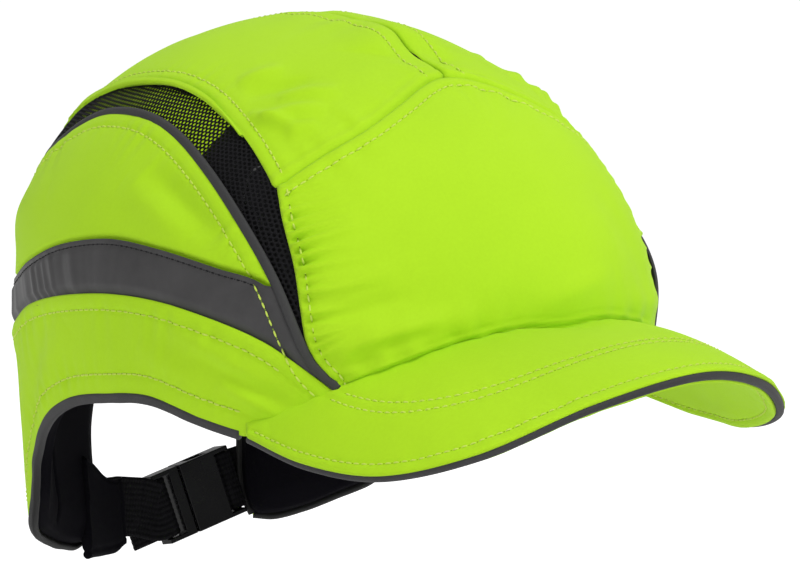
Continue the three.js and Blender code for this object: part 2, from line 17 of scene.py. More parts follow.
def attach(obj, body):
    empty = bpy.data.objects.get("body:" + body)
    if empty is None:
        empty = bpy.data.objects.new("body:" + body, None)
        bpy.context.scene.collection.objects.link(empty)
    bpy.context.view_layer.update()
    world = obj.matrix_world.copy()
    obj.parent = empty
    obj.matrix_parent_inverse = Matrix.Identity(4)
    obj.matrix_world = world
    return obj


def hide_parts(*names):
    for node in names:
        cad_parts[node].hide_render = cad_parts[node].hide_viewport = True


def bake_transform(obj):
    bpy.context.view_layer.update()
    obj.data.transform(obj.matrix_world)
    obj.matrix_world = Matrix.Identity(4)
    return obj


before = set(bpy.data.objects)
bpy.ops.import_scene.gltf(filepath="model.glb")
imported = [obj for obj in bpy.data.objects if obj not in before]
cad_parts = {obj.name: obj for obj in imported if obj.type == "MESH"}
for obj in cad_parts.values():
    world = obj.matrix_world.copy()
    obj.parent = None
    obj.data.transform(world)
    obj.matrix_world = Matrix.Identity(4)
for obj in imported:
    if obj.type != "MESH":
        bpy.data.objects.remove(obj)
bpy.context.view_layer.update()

MM = 0.001
RIGHT, LEFT = 1, -1
SIDES = {"right": RIGHT, "left": LEFT}

# ---- The dome and its seams ----------------------------------------------------------
# Places are (azimuth, elevation) in degrees from the head's centre, and the right side's
# azimuths are negative. They are the CAD model's, but here the lower ends of SIDE_SEAM,
# VENT_FOOT and STRIP_FOOT bend more and the rear end of VENT_TOP lies higher. PEAK_EDGE's
# points are millimetres.
DOME = {"half_width": 89, "front": 110, "rear": 107.5, "height": 83.5, "below": 260}
PLAN_POWER, RISE_POWER, PITCH, NAPE_PULL = 2.26, 1.86, 7.5, 12.5

FRONT_SEAM = [(0, 49.8), (-5, 49.3), (-12, 47), (-21, 42), (-32, 35.2), (-50.5, 24)]
SIDE_SEAM = [(-50.5, 24), (-48.9, 18), (-46, 9), (-44.7, 1.6), (-43.7, -4), (-42.5, -6.6),
             (-40.9, -8.7), (-39, -10.6), (-37.8, -15)]
VENT_TOP = [(-41, -10), (-43.6, -2), (-46, 9), (-50.7, 22.5), (-55, 29), (-63, 37), (-79, 46),
            (-97, 49), (-113, 47.3), (-125, 43.7), (-135, 38.4), (-142, 34.4), (-148, 29.6),
            (-153, 20.5)]
VENT_FOOT = [(-37.2, -12.6), (-38.7, -10.9), (-40.5, -9.5), (-42.3, -7.7), (-43.6, -5.6),
             (-44.6, -3.5), (-49.2, 6.3), (-56, 16), (-67.5, 27.5), (-82, 36), (-96, 39.3),
             (-108, 39), (-118, 36.6), (-126, 32.2), (-133, 26.8), (-143, 20.8), (-153, 16.5),
             (-166, 14), (-180, 13)]
STRIP_TOP = [(-43, 0), (-52, 6), (-60, 8), (-75, 11), (-90, 12), (-107, 9), (-121, 4),
             (-135, -1), (-155, -3), (-180, -3)]
STRIP_FOOT = [(-37.6, -12.9), (-40, -11), (-46.4, -6.8), (-51.2, -4.2), (-59, -1.6), (-73, 1),
              (-88, 1.3), (-106, -0.9), (-121, -4.3), (-135, -9), (-155, -11), (-180, -11)]
RIM = [(0, -6), (-9, -6.3), (-20, -8.5), (-29, -12), (-37.5, -15)]
EAR_ARCH = [(-47, -19), (-56, -21), (-64, -20), (-77, -18), (-89, -19), (-103, -21),
            (-114, -25), (-121, -31), (-125, -37), (-131, -40.5), (-139, -42.8),
            (-147, -44.8), (-153, -45.6)]
REAR_ARCH = [(-157, -45.2), (-159, -42), (-159.6, -30), (-165, -22.5), (-180, -19.5)]
SHELL_EDGE = [(0, -2), (-20, -3), (-37, -7), (-56, -11), (-80, -11), (-103, -13),
              (-125, -16), (-150, -15.5), (-180, -14)]
BAND_TOP = [(0, 9.5), (-20, 8), (-37, 4), (-56, 0), (-89, 0), (-112, -3)]
BAND_FOOT = [(0, -4.5), (-20, -7), (-37, -13), (-56, -18.5), (-89, -16.5), (-112, -20.5)]
PEAK_SEAM = [(0, -2.6), (-8.5, -2.2), (-20.4, -4.2), (-28.5, -7), (-37.5, -11), (-55.5, -19)]
PEAK_EDGE = [(0, -169, -11), (-35, -160.5, -18), (-62.5, -141.5, -32), (-76.5, -115, -40.3),
             (-82, -87, -40), (-81, -57, -35.5)]


def smooth(low, high, value):
    t = np.clip((value - low) / (high - low), 0, 1)
    return t * t * (3 - 2 * t)


def bell(value, width):
    return np.exp(-((value / width) ** 2))


def unit(v):
    return v / np.maximum(np.linalg.norm(v, axis=-1, keepdims=True), 1e-12)


def ray(azimuth, elevation):
    turn, rise = np.radians(azimuth), np.radians(elevation)
    return np.stack([np.sin(turn) * np.cos(rise), -np.cos(turn) * np.cos(rise),
                     np.sin(rise) + 0 * turn], -1)


def azimuth_of(d):
    return np.degrees(np.arctan2(d[..., 0], -d[..., 1]))


def elevation_of(d):
    return np.degrees(np.arcsin(d[..., 2]))


def azimuth_round(d):
    """The azimuth, counted on past -180 for places beyond the middle of the rear."""
    azimuth = azimuth_of(d)
    return np.where(azimuth > 90, azimuth - 360, azimuth)


def dome_radius(d):
    lean = math.radians(PITCH)
    x = np.abs(d[..., 0]) / DOME["half_width"]
    y = d[..., 1] * math.cos(lean) + d[..., 2] * math.sin(lean)
    z = d[..., 2] * math.cos(lean) - d[..., 1] * math.sin(lean)
    y = np.abs(y) / np.where(y < 0, DOME["front"], DOME["rear"])
    z = np.abs(z) / np.where(z < 0, DOME["below"], DOME["height"])
    plan = x ** PLAN_POWER + y ** PLAN_POWER
    radius = (plan ** (RISE_POWER / PLAN_POWER) + z ** RISE_POWER) ** (-1 / RISE_POWER)
    pull = NAPE_PULL * smooth(126, 158, np.abs(azimuth_of(d))) * smooth(15, 50, -radius * d[..., 2])
    return radius - pull / np.maximum(np.hypot(d[..., 0], d[..., 1]), 0.3)


def on_dome(d, depth=0.0):
    level = np.maximum(np.hypot(d[..., 0], d[..., 1]), 0.3)
    slant = np.where(d[..., 2] < 0, 1 / level, 1.0)
    return d * (dome_radius(d) - depth * slant)[..., None]


def mirrored(places):
    return [(-first, *rest) for first, *rest in places]


def both_sides(places):
    return mirrored(places)[::-1] + list(places[1:])


def lengths(line):
    """How far along a line each of its points is."""
    return np.concatenate([[0], np.cumsum(np.linalg.norm(np.diff(line, axis=0), axis=1))])


def even(line, count):
    """The same line as count points at even distances."""
    line = np.asarray(line, float)
    at = lengths(line)
    want = np.linspace(0, at[-1], count)
    return np.stack([np.interp(want, at, line[:, k]) for k in range(line.shape[1])], 1)


def spline(points, count, fine=24):
    """A centripetal Catmull-Rom curve through points, as count even points."""
    p = np.asarray(points, float)
    p = np.vstack([2 * p[0] - p[1], p, 2 * p[-1] - p[-2]])
    line = []
    for a, b, c, d in zip(p, p[1:], p[2:], p[3:]):
        steps = [max(np.linalg.norm(v) ** 0.5, 1e-6) for v in (b - a, c - b, d - c)]
        t0, t1, t2, t3 = np.cumsum([0, *steps])
        for t in np.linspace(t1, t2, fine, endpoint=False):
            ab = (t1 - t) / (t1 - t0) * a + (t - t0) / (t1 - t0) * b
            bc = (t2 - t) / (t2 - t1) * b + (t - t1) / (t2 - t1) * c
            cd = (t3 - t) / (t3 - t2) * c + (t - t2) / (t3 - t2) * d
            abc = (t2 - t) / (t2 - t0) * ab + (t - t0) / (t2 - t0) * bc
            bcd = (t3 - t) / (t3 - t1) * bc + (t - t1) / (t3 - t1) * cd
            line.append((t2 - t) / (t2 - t1) * abc + (t - t1) / (t2 - t1) * bcd)
    line.append(p[-2])
    return even(line, count)


def seam(places, count=60):
    azimuth, elevation = np.array(places, float).T
    return unit(spline(ray(azimuth, elevation), count))


def shifted(curve, distance):
    """A curve of directions moved sideways on the dome by millimetres."""
    side = unit(np.cross(curve, np.gradient(curve, axis=0)))
    return unit(curve + side * (distance / dome_radius(curve))[:, None])


def over_top(start, end, count):
    """The line over the middle of the head: 0 is the front, 90 the top, 180 the rear."""
    angle = np.radians(np.linspace(start, end, count))
    return np.stack([0 * angle, -np.cos(angle), np.sin(angle)], 1)


def between(top, foot, rows):
    """Rows of directions from one curve to another with as many points."""
    t = np.linspace(0, 1, rows)[:, None, None]
    return unit(top[None] * (1 - t) + foot[None] * t)


def patch(top, foot, start, end):
    """A grid of directions inside four curves; start and end run from top to foot."""
    columns, rows = len(top), len(start)
    s = np.linspace(0, 1, columns)[None, :, None]
    t = np.linspace(0, 1, rows)[:, None, None]
    ruled = top[None] * (1 - t) + foot[None] * t + start[:, None] * (1 - s) + end[:, None] * s
    corners = ((top[0] * (1 - s) + top[-1] * s) * (1 - t) + (foot[0] * (1 - s) + foot[-1] * s) * t)
    return unit(ruled - corners)


def nearest(points, line):
    """Distance from each point to a polyline, and how far along the line that is."""
    flat = points.reshape(-1, 3)
    best = np.full(len(flat), 1e9)
    along = np.zeros(len(flat))
    travelled = 0.0
    for a, b in zip(line, line[1:]):
        d = b - a
        length = np.linalg.norm(d)
        if length < 1e-9:
            continue
        t = np.clip((flat - a) @ d / length ** 2, 0, 1)
        gap = np.linalg.norm(flat - a - t[:, None] * d, axis=1)
        closer = gap < best
        best[closer] = gap[closer]
        along[closer] = travelled + t[closer] * length
        travelled += length
    return best.reshape(points.shape[:-1]), along.reshape(points.shape[:-1])


def grid_normals(points):
    """Unit normals of a grid, turned away from the origin."""
    normal = unit(np.cross(np.gradient(points, axis=0), np.gradient(points, axis=1)))
    sign = np.sign(np.sum(normal * points, -1, keepdims=True))
    return normal * np.where(np.mean(sign) < 0, -1, 1)


def ripple(along, seed, short=5.0, long=13.0):
    """Uneven waves along a seam, between -1 and 1."""
    chance = np.random.default_rng(seed)
    waves = 0 * along
    for _ in range(7):
        length = chance.uniform(short, long)
        waves = waves + np.sin(along * 2 * math.pi / length + chance.uniform(0, 6.28))
    swell = 0.6 + 0.4 * np.sin(along / chance.uniform(9, 16) + chance.uniform(0, 6.28))
    return waves / 3.2 * swell


def lumps(points, seed, size, amount):
    """Soft uneven relief of a given size in millimetres."""
    chance = np.random.default_rng(seed)
    height = np.zeros(points.shape[:-1])
    for _ in range(9):
        direction = unit(chance.normal(size=3))
        length = size * chance.uniform(0.7, 1.6)
        height += np.sin(points @ direction * 2 * math.pi / length + chance.uniform(0, 6.28))
    return height * amount / 4


PUCKER, CREASE = 1.9, 2.2      # how strongly seams gather the cloth, and folds stand out


def hem_relief(gap, along, seed, hem=4.5, pucker=0.2, reach=6.0, roll=0.9, short=5.0, long=13.0):
    """How a sewn edge shapes cloth: a rolled edge, a hem, a stitched groove and puckers."""
    relief = -roll * bell(gap, 0.9)
    relief += 0.22 * bell(gap - hem * 0.55, hem * 0.35) - 0.3 * bell(gap - hem, 0.8)
    fade = np.exp(-np.abs(gap - hem) / reach) * smooth(0, hem * 0.7, gap)
    return relief + PUCKER * pucker * fade * ripple(along, seed, short, long)


def fold(points, start, end, width, height):
    """A soft crease between two places on the dome, tapering at both ends."""
    line = on_dome(unit(np.linspace(ray(*start), ray(*end), 14)))
    gap, along = nearest(points, line)
    along = np.sin(np.pi * np.clip(along / lengths(line)[-1], 0, 1)) ** 0.7
    return CREASE * height * bell(gap, width) * along


# ---- Meshes --------------------------------------------------------------------------
def add_object(name, data):
    thing = bpy.data.objects.new(name, data)
    bpy.context.scene.collection.objects.link(thing)
    return thing


def make_object(name, points, faces, material, uv=None, smooth_faces=True):
    mesh = bpy.data.meshes.new(name)
    mesh.from_pydata((np.asarray(points) * MM).tolist(), [], faces)
    if uv is not None:
        layer = mesh.uv_layers.new(name="UVMap")
        index = np.empty(len(mesh.loops), int)
        mesh.loops.foreach_get("vertex_index", index)
        layer.data.foreach_set("uv", (np.asarray(uv)[index] * MM).ravel())
    mesh.polygons.foreach_set("use_smooth", [smooth_faces] * len(mesh.polygons))
    mesh.materials.append(material)
    mesh.validate()
    mesh.update()
    return add_object(name, mesh)


def grid_faces(rows, columns, first=0, flip=False):
    faces = []
    for i in range(rows - 1):
        for j in range(columns - 1):
            a = first + i * columns + j
            quad = (a, a + 1, a + columns + 1, a + columns)
            faces.append(quad[::-1] if flip else quad)
    return faces


def sheet(name, outer, inner, material):
    """A closed sheet between two grids of points, with texture places in millimetres."""
    rows, columns = outer.shape[:2]
    behind = rows * columns
    middle = outer[rows // 2, columns // 2]
    a, b = outer[rows // 2, columns // 2 - 1], outer[rows // 2 - 1, columns // 2]
    facing = np.cross(a - middle, b - middle) @ (middle - inner[rows // 2, columns // 2])
    flip = facing < 0
    faces = grid_faces(rows, columns, 0, flip) + grid_faces(rows, columns, behind, not flip)
    rim = list(range(columns)) + [i * columns + columns - 1 for i in range(1, rows)]
    rim += [(rows - 1) * columns + j for j in range(columns - 2, -1, -1)]
    rim += [i * columns for i in range(rows - 2, 0, -1)]
    for a, b in zip(rim, rim[1:] + rim[:1]):
        quad = (a, behind + a, behind + b, b)
        faces.append(quad[::-1] if flip else quad)
    across = np.linalg.norm(np.diff(outer, axis=1), axis=2)
    down = np.linalg.norm(np.diff(outer, axis=0), axis=2)
    u = np.concatenate([np.zeros((rows, 1)), np.cumsum(across, 1)], 1)
    v = np.concatenate([np.zeros((1, columns)), np.cumsum(down, 0)], 0)
    u -= u[:, columns // 2:columns // 2 + 1]
    uv = np.stack([u, v], -1).reshape(-1, 2)
    points = np.concatenate([outer.reshape(-1, 3), inner.reshape(-1, 3)])
    return make_object(name, points, faces, material, np.concatenate([uv, uv]))


def tube_faces(rings, sides, first=0):
    """Faces of a closed tube whose rings of points follow one another from first on."""
    faces = []
    for p in range(first, first + (rings - 1) * sides, sides):
        for k in range(sides):
            n = (k + 1) % sides
            faces.append((p + k, p + n, p + sides + n, p + sides + k))
    last = first + (rings - 1) * sides
    return faces + [tuple(range(first, first + sides))[::-1], tuple(range(last, last + sides))]


def sweep(name, line, across, up, section, material):
    """A section of (across, up) points carried along a line, with its ends closed."""
    count = len(section)
    points = (line[:, None] + across[:, None] * section[None, :, :1]
              + up[:, None] * section[None, :, 1:]).reshape(-1, 3)
    faces = tube_faces(len(line), count)
    uv = np.stack(np.broadcast_arrays(lengths(line)[:, None], lengths(section)[None]), -1)
    piece = make_object(name, points, faces, material, uv.reshape(-1, 2))
    tidy_normals(piece)
    return piece


def tidy_normals(piece):
    mesh = bmesh.new()
    mesh.from_mesh(piece.data)
    bmesh.ops.recalc_face_normals(mesh, faces=mesh.faces)
    mesh.to_mesh(piece.data)
    mesh.free()


def rounded(width, height, radius, corner=4):
    """A rectangle with round corners, as section points."""
    points = []
    for cx, cy, start in ((1, 1, 0), (-1, 1, 90), (-1, -1, 180), (1, -1, 270)):
        for angle in np.radians(np.linspace(start, start + 90, corner)):
            points.append((cx * (width / 2 - radius) + radius * math.cos(angle),
                           cy * (height / 2 - radius) + radius * math.sin(angle)))
    return np.array(points)


def circle(radius, count=12):
    turn = np.linspace(0, 2 * math.pi, count, endpoint=False)
    return np.stack([radius * np.cos(turn), radius * np.sin(turn)], 1)


def finish_piece(piece, body, slot, *nodes):
    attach(piece, body)
    if nodes:
        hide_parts(*nodes)
    return piece


# ---- Materials -----------------------------------------------------------------------
class Surface:
    """A material, with short ways to add the nodes that this cap's surfaces are made of."""

    def __init__(self, name, roughness, **sockets):
        self.material = bpy.data.materials.new(name)
        self.material.use_nodes = True
        self.nodes = self.material.node_tree.nodes
        self.shader = self.nodes["Principled BSDF"].inputs
        for socket, value in {"Roughness": roughness, **sockets}.items():
            self.shader[socket.replace("_", " ")].default_value = value
        place = self.add("TexCoord").outputs
        self.where, self.uv = place["Object"], place["UV"]

    def link(self, value, socket):
        self.material.node_tree.links.new(value, socket)

    def feed(self, node, sockets):
        for socket, value in sockets.items():
            if isinstance(value, bpy.types.NodeSocket):
                self.link(value, node.inputs[socket])
            else:
                node.inputs[socket].default_value = value

    def add(self, kind, operation=None, **sockets):
        node = self.nodes.new("ShaderNode" + kind)
        if operation:
            node.operation = operation
        self.feed(node, sockets)
        return node

    def math(self, operation, *values):
        node = self.add("Math", operation)
        self.feed(node, dict(enumerate(values)))
        return node.outputs[0]

    def noise(self, scale, detail=3.0, rough=0.55):
        return self.add("TexNoise", Vector=self.where, Scale=scale, Detail=detail,
                        Roughness=rough).outputs["Fac"]

    def color(self, factor, stops, socket="Base Color"):
        """Colour a socket of the shader by a factor, through a ramp with two stops."""
        ramp = self.add("ValToRGB", Fac=factor)
        for element, (place, color) in zip(ramp.color_ramp.elements, stops):
            element.position, element.color = place, (*color, 1)
        self.link(ramp.outputs["Color"], self.shader[socket])

    def bumps(self, *layers):
        """Bumps from several heights, each with a distance in metres and a strength."""
        normal = None
        for height, distance, strength in layers:
            bump = self.add("Bump", Height=height, Distance=distance, Strength=strength)
            if normal:
                self.link(normal, bump.inputs["Normal"])
            normal = bump.outputs["Normal"]
        self.link(normal, self.shader["Normal"])


def cloth_material(name, dark, light, pitch, roughness, weave=0.35, sheen=0.0, glow=0.0,
                   tint=(1, 1, 1), use_uv=True, gloss=0.3):
    """A woven cloth: threads both ways, soft colour variation, fuzz and a faint sheen; a glow
    paints light into it as emission in the same colours.
    """
    cloth = Surface(name, roughness, Sheen_Weight=sheen, Sheen_Roughness=0.45,
                    Sheen_Tint=(*tint, 1), Emission_Strength=glow, Specular_IOR_Level=gloss)
    blend = cloth.math("ADD", cloth.math("MULTIPLY", cloth.noise(9, 4), 0.8),
                       cloth.math("MULTIPLY", cloth.noise(900, 2), 0.2))
    for socket in ("Base Color", "Emission Color") if glow else ("Base Color",):
        cloth.color(blend, [(0.3, dark), (0.7, light)], socket)
    split = cloth.add("SeparateXYZ", Vector=cloth.uv if use_uv else cloth.where).outputs
    turns = 2 * math.pi / (pitch * MM)
    waves = [cloth.math("SINE", cloth.math("MULTIPLY", split[axis], turns)) for axis in "XY"]
    cloth.bumps((cloth.math("MULTIPLY", *waves), 0.00008, weave),
                (cloth.noise(160, 4, 0.6), 0.0004, 0.12))
    return cloth


def darken_downwards(cloth, top, foot, least=0.12):
    """Paint shade into a material's colour: it fades towards black between two heights in
    millimetres.
    """
    color = cloth.shader["Base Color"]
    height = cloth.add("SeparateXYZ", Vector=cloth.where).outputs["Z"]
    # painted shade: the colour is scaled down from full at the top height to least at the foot
    fade = cloth.add("MapRange", **{"From Min": foot * MM, "From Max": top * MM, "To Min": least,
                                    "Value": height})
    scale = cloth.add("VectorMath", "SCALE", Vector=color.links[0].from_socket,
                      Scale=fade.outputs["Result"])
    cloth.link(scale.outputs["Vector"], color)
    return cloth


def plastic_material(name, dark, light, roughness, grain, depth, gloss=0.3):
    """Moulded plastic: a fine grain, uneven gloss and rubbed patches."""
    plastic = Surface(name, roughness, Specular_IOR_Level=gloss)
    patches = plastic.noise(60, 5)
    plastic.color(patches, [(0.35, dark), (0.7, light)])
    plastic.link(plastic.math("MULTIPLY_ADD", patches, 0.25, roughness - 0.12),
                 plastic.shader["Roughness"])
    plastic.bumps((plastic.noise(grain, 3), depth, 0.5))
    return plastic


def ribbed_material(name, dark, light, roughness, pitch):
    """Narrow woven tape: cross threads at a pitch along it, over a knitted body."""
    tape = Surface(name, roughness, Specular_IOR_Level=0.12)
    tape.color(tape.noise(420, 3), [(0.3, dark), (0.7, light)])
    along = tape.add("SeparateXYZ", Vector=tape.uv).outputs["X"]
    knit = tape.math("SINE", tape.math("MULTIPLY", along, 2 * math.pi / (pitch * MM)))
    tape.bumps((knit, 0.0001, 0.6), (tape.noise(1500, 2), 0.0001, 0.4))
    return tape


def reflective_material():
    """Retroreflective tape: a tight satin face with glass-bead grain and soft streaks."""
    tape = Surface("reflective_tape", 0.5, Metallic=0.1, Specular_IOR_Level=0.4)
    cloudy = tape.noise(45, 5, 0.65)
    tape.color(cloudy, [(0.25, (0.030, 0.029, 0.030)), (0.75, (0.058, 0.056, 0.057))])
    tape.bumps((tape.noise(2600, 1), 0.00004, 0.5), (cloudy, 0.0006, 0.25))
    return tape


def make_surfaces():
    bright, pale = (0.385, 0.68, 0.004), (0.45, 0.77, 0.008)
    tape = (0.030, 0.030, 0.031), (0.050, 0.049, 0.050)
    return [
        # The fluorescent cloth's faint glow (glow=0.03) is painted light, standing in for the dye's
        # real fluorescence.
        ("yellow", cloth_material("fluorescent_cloth", bright, pale, 0.42, 0.75, weave=0.45,
                                  sheen=0.08, glow=0.03, tint=(0.9, 1.0, 0.5))),
        # The vent facing glows (glow=0.3): painted light that lifts it where the net's threads
        # shade it.
        ("lining", cloth_material("vent_facing_painted_glow", (0.36, 0.58, 0.006), (0.48, 0.74, 0.01), 0.42,
                                  0.8, weave=0.3, glow=0.3)),
        ("thread", cloth_material("yellow_thread", (0.50, 0.66, 0.07), (0.66, 0.82, 0.14), 0.25,
                                  0.6, weave=0.4, sheen=0.05, use_uv=False)),
        # The needle holes' dark colour is painted shade: each hole is a small nub coloured dark
        # where the real hole lies in shade.
        ("hole_shade", cloth_material("painted_hole_shade", (0.16, 0.26, 0.004),
                                       (0.25, 0.40, 0.006), 0.3, 0.9, weave=0.2,
                                       use_uv=False)),
        ("grey", cloth_material("grey_piping", *tape, 0.3, 0.6)),
        # Painted shade: the binding tape darkens from 46 mm to 76 mm below the centre, where the
        # lobes' edges lie in shadow.
        ("binding", darken_downwards(cloth_material("binding_tape_painted_shade", *tape, 0.3, 0.6), -46, -76)),
        ("reflective", reflective_material()),
        ("black", cloth_material("black_cloth", (0.0018, 0.0016, 0.0028),
                                 (0.0042, 0.0038, 0.006), 0.5, 0.85, weave=0.5, gloss=0.05)),
        ("dark_thread", cloth_material("dark_thread", (0.006, 0.006, 0.007),
                                       (0.014, 0.014, 0.015), 0.25, 0.6, weave=0.4,
                                       use_uv=False, gloss=0.15)),
        ("mesh", cloth_material("vent_thread", (0.0022, 0.002, 0.003), (0.0065, 0.006, 0.008),
                                0.3, 0.75, weave=0.5, use_uv=False, gloss=0.2)),
        ("elastic", ribbed_material("ribbed_elastic", (0.0018, 0.0017, 0.0025),
                                    (0.0052, 0.0048, 0.0065), 0.8, 1.1)),
        ("foam", cloth_material("foam", (0.010, 0.010, 0.011), (0.020, 0.020, 0.022), 0.9, 0.95,
                                weave=0.3, use_uv=False, gloss=0.15)),
        ("shell", plastic_material("shell_plastic", (0.006, 0.006, 0.0065),
                                   (0.012, 0.012, 0.0125), 0.45, 1800, 0.00008)),
        ("board", plastic_material("peak_board", (0.66, 0.66, 0.62), (0.75, 0.75, 0.71), 0.6,
                                   900, 0.00005)),
        ("plastic", plastic_material("buckle_plastic", (0.0022, 0.0022, 0.0027),
                                     (0.005, 0.005, 0.006), 0.24, 2200, 0.00003, gloss=0.17)),
    ]


look = {name: surface.material for name, surface in make_surfaces()}


# ---- Cloth panels --------------------------------------------------------------------
THICK = 0.9
CLOTH = {"yellow": "hi_vis_fabric", "reflective": "reflective_tape"}


def hem(curve, seed, **shape):
    """A sewn edge: its line on the dome, its random seed and the shape of its hem."""
    return on_dome(curve), seed, shape


FLARE = {"centre": (-46.0, 1.0), "height": 2.8, "spread": 19}


def flare(points, side):
    """The left vent's front edge stands out a little further than the right one's."""
    if side == RIGHT:
        return 0 * points[..., 0]
    centre = on_dome(ray(*FLARE["centre"]))
    return FLARE["height"] * bell(np.linalg.norm(points - centre, axis=-1), FLARE["spread"])


def cloth_panel(name, grid, hems, seed, side, lift=0.0, folds=(), material="yellow", soft=0.18,
                edges=(), extra=0.0):
    """A panel of cloth on the dome with its hems, creases and soft unevenness."""
    seed += 40 * (side == LEFT)
    base = on_dome(grid)
    relief = lift + lumps(base, seed, 26, soft) + extra + flare(base, side)
    for line, hem_seed, shape in hems:
        gap, along = nearest(base, line)
        relief += hem_relief(gap, along, hem_seed + seed, **shape)
    for line, width, drop in edges:
        gap, _ = nearest(base, line)
        relief += drop * (1 - smooth(0, width, gap))
    for crease in folds:
        relief += fold(base, *crease)
    normals = grid_normals(base)
    outer = base + normals * relief[..., None]
    inner = outer - grid_normals(outer) * THICK
    piece = sheet(name, outer * (side, 1, 1), inner * (side, 1, 1), look[material])
    return finish_piece(piece, "cap", CLOTH[material], name)


def part_of(curve, low, high, count, by_height=False):
    """The stretch of a curve whose azimuth, or elevation, lies in a range."""
    value = elevation_of(curve) if by_height else azimuth_round(curve)
    return unit(even(curve[(value >= low) & (value <= high)], count))


PIPING = seam(VENT_FOOT, 400)
STRIP_UPPER = seam(STRIP_TOP, 300)
STRIP_LOWER = seam(STRIP_FOOT, 300)
VENT_UPPER = seam(VENT_TOP, 200)
SIDE_LINE = seam(SIDE_SEAM, 80)
FRONT_LINE = seam(both_sides(FRONT_SEAM), 160)
OPEN_EDGE = seam([(-38, -15.4), *EAR_ARCH, *REAR_ARCH], 420)
EAR_EDGE = seam([*EAR_ARCH[1:], REAR_ARCH[0]], 190)
REAR_EDGE = seam([*REAR_ARCH, *mirrored(REAR_ARCH[:-1])[::-1]], 180)
CENTRE = over_top(49.5, 200, 150)
REAR_CENTRE = over_top(160, 200, 60)
VENT_CORNER = int(np.argmin(np.linalg.norm(VENT_UPPER - ray(*FRONT_SEAM[-1]), axis=1)))
STRIP_TIP, STRIP_TOE = 5.2, -8.6      # heights at which the strip's edges meet the piping

# How far each row of stitches runs from its seam, and the hem in the middle of the rear.
ROW = {"front": 4.5, "side": 3.4, "vent": 4.6, "centre": 7.5, "piping": 6.2, "strip_top": 1.7,
       "strip_foot": 5.0, "ear": 7.4, "rear": 6.5}
REAR_HEM = hem(REAR_CENTRE, 29, hem=ROW["rear"])


def front_panel():
    top = shifted(FRONT_LINE, 0.25)
    right, left = shifted(SIDE_LINE, 0.3), shifted(SIDE_LINE, 0.3) * (-1, 1, 1)
    foot = seam(both_sides(RIM), 160)
    right[0], left[0], top[0], top[-1] = top[-1], top[0], top[0], top[-1]
    ends = unit(even(right, 110)), unit(even(left, 110))
    ends[0][-1], ends[1][-1] = foot[-1], foot[0]
    grid = patch(top, foot, ends[1], ends[0])
    tight = {"hem": ROW["side"], "pucker": 0.85, "short": 3.2, "long": 7, "roll": 0.5}
    hems = [hem(FRONT_LINE, 3, hem=ROW["front"], reach=7, roll=0.4),
            hem(SIDE_LINE, 5, **tight), hem(SIDE_LINE * (-1, 1, 1), 9, **tight),
            hem(seam(both_sides(PEAK_SEAM[:5]), 80), 7, hem=2.5, pucker=0.4, reach=7, roll=1.1,
                short=6, long=16)]
    folds = [((-43, -3), (-14, 0.5), 4.2, 0.7), ((-43, 4), (-28, 8), 2.6, 0.45),
             ((-42, 0), (-26, 4), 2.2, -0.4), ((-41, -6), (-22, 0.5), 2.4, 0.5),
             ((43, -3), (16, 0), 4, 0.6), ((-40, -9), (-20, -3), 3.0, 0.7),
             ((-45, 12), (-33, 17), 3, 0.35), ((-39.5, -8.2), (-29, -5.4), 1.8, -0.5),
             ((-6, 1), (14, 5), 4, 0.4), ((20, 22), (26, -2), 7, -0.5)]
    return cloth_panel("front_panel", grid, hems, 11, RIGHT, folds=folds)


def crown_panel(name, side):
    centre = over_top(49.5, 167, 170)
    centre[:, 0] = -0.0004
    top = unit(centre)
    start = shifted(part_of(FRONT_LINE, -90, -0.01, 70), 1.5)
    foot = unit(even(shifted(VENT_UPPER, -0.4)[VENT_CORNER:-3], 170))
    rear = part_of(PIPING, -181, -153, 70)[::-1]
    start[0], end = top[0], shifted(rear, 0.6)
    end[0] = top[-1]
    foot[0] = start[-1]
    end[-1] = foot[-1]
    grid = patch(top, foot, start, end)
    hems = [hem(FRONT_LINE, 3, hem=ROW["front"], pucker=0.3, reach=8, short=6, long=15, roll=0),
            hem(VENT_UPPER, 15, hem=ROW["vent"], pucker=0.12, reach=5, short=3.5, long=8,
                roll=0.45),
            hem(CENTRE, 17, hem=ROW["centre"], pucker=0.3, reach=9, short=9, long=22)]
    folds = [((-62, 41.5), (-46, 36.8), 2.2, 1.0), ((-58, 40), (-40, 42.5), 3.0, 1.0),
             ((-55, 46), (-36, 47), 3.2, 0.8), ((-66, 47), (-45, 51), 3, -0.6),
             ((-50, 35.5), (-42, 38), 2.4, 0.7), ((-72, 51), (-56, 56), 3.4, 0.7),
             ((-20, 60), (10, 76), 9, 1.1), ((-8, 54), (2, 66), 6, -0.8)]
    drops = [(on_dome(PIPING), 2.2, -1.0), (on_dome(shifted(FRONT_LINE, 0.75)), 2.6, -1.9)]
    return cloth_panel(name, grid, hems, 23, side, folds=folds, edges=drops)


def upper_side_panel(name, side):
    start = np.argmax((elevation_of(PIPING) > STRIP_TIP) & (azimuth_of(PIPING) < -44))
    top = unit(even(shifted(PIPING, -0.2)[start:], 230))
    foot = shifted(unit(even(np.vstack([top[:1], part_of(STRIP_UPPER, -181, -50.5, 200)]), 230)),
                   1.4)
    foot[0] = top[0]
    top[-1], foot[-1] = unit(top[-1] * (0, 1, 1)), unit(foot[-1] * (0, 1, 1))
    grid = between(top, foot, 70)
    hems = [hem(PIPING, 27, hem=6.0, pucker=0.26, short=4, long=11), REAR_HEM]
    folds = [((-86, 27), (-60, 13), 4.5, -0.9), ((-92, 24), (-68, 14), 5, 0.5),
             ((-120, 18), (-150, 4), 8, 0.6)]
    drops = [(on_dome(STRIP_UPPER), 1.9, -1.7)]
    return cloth_panel(name, grid, hems, 31, side, folds=folds, edges=drops)


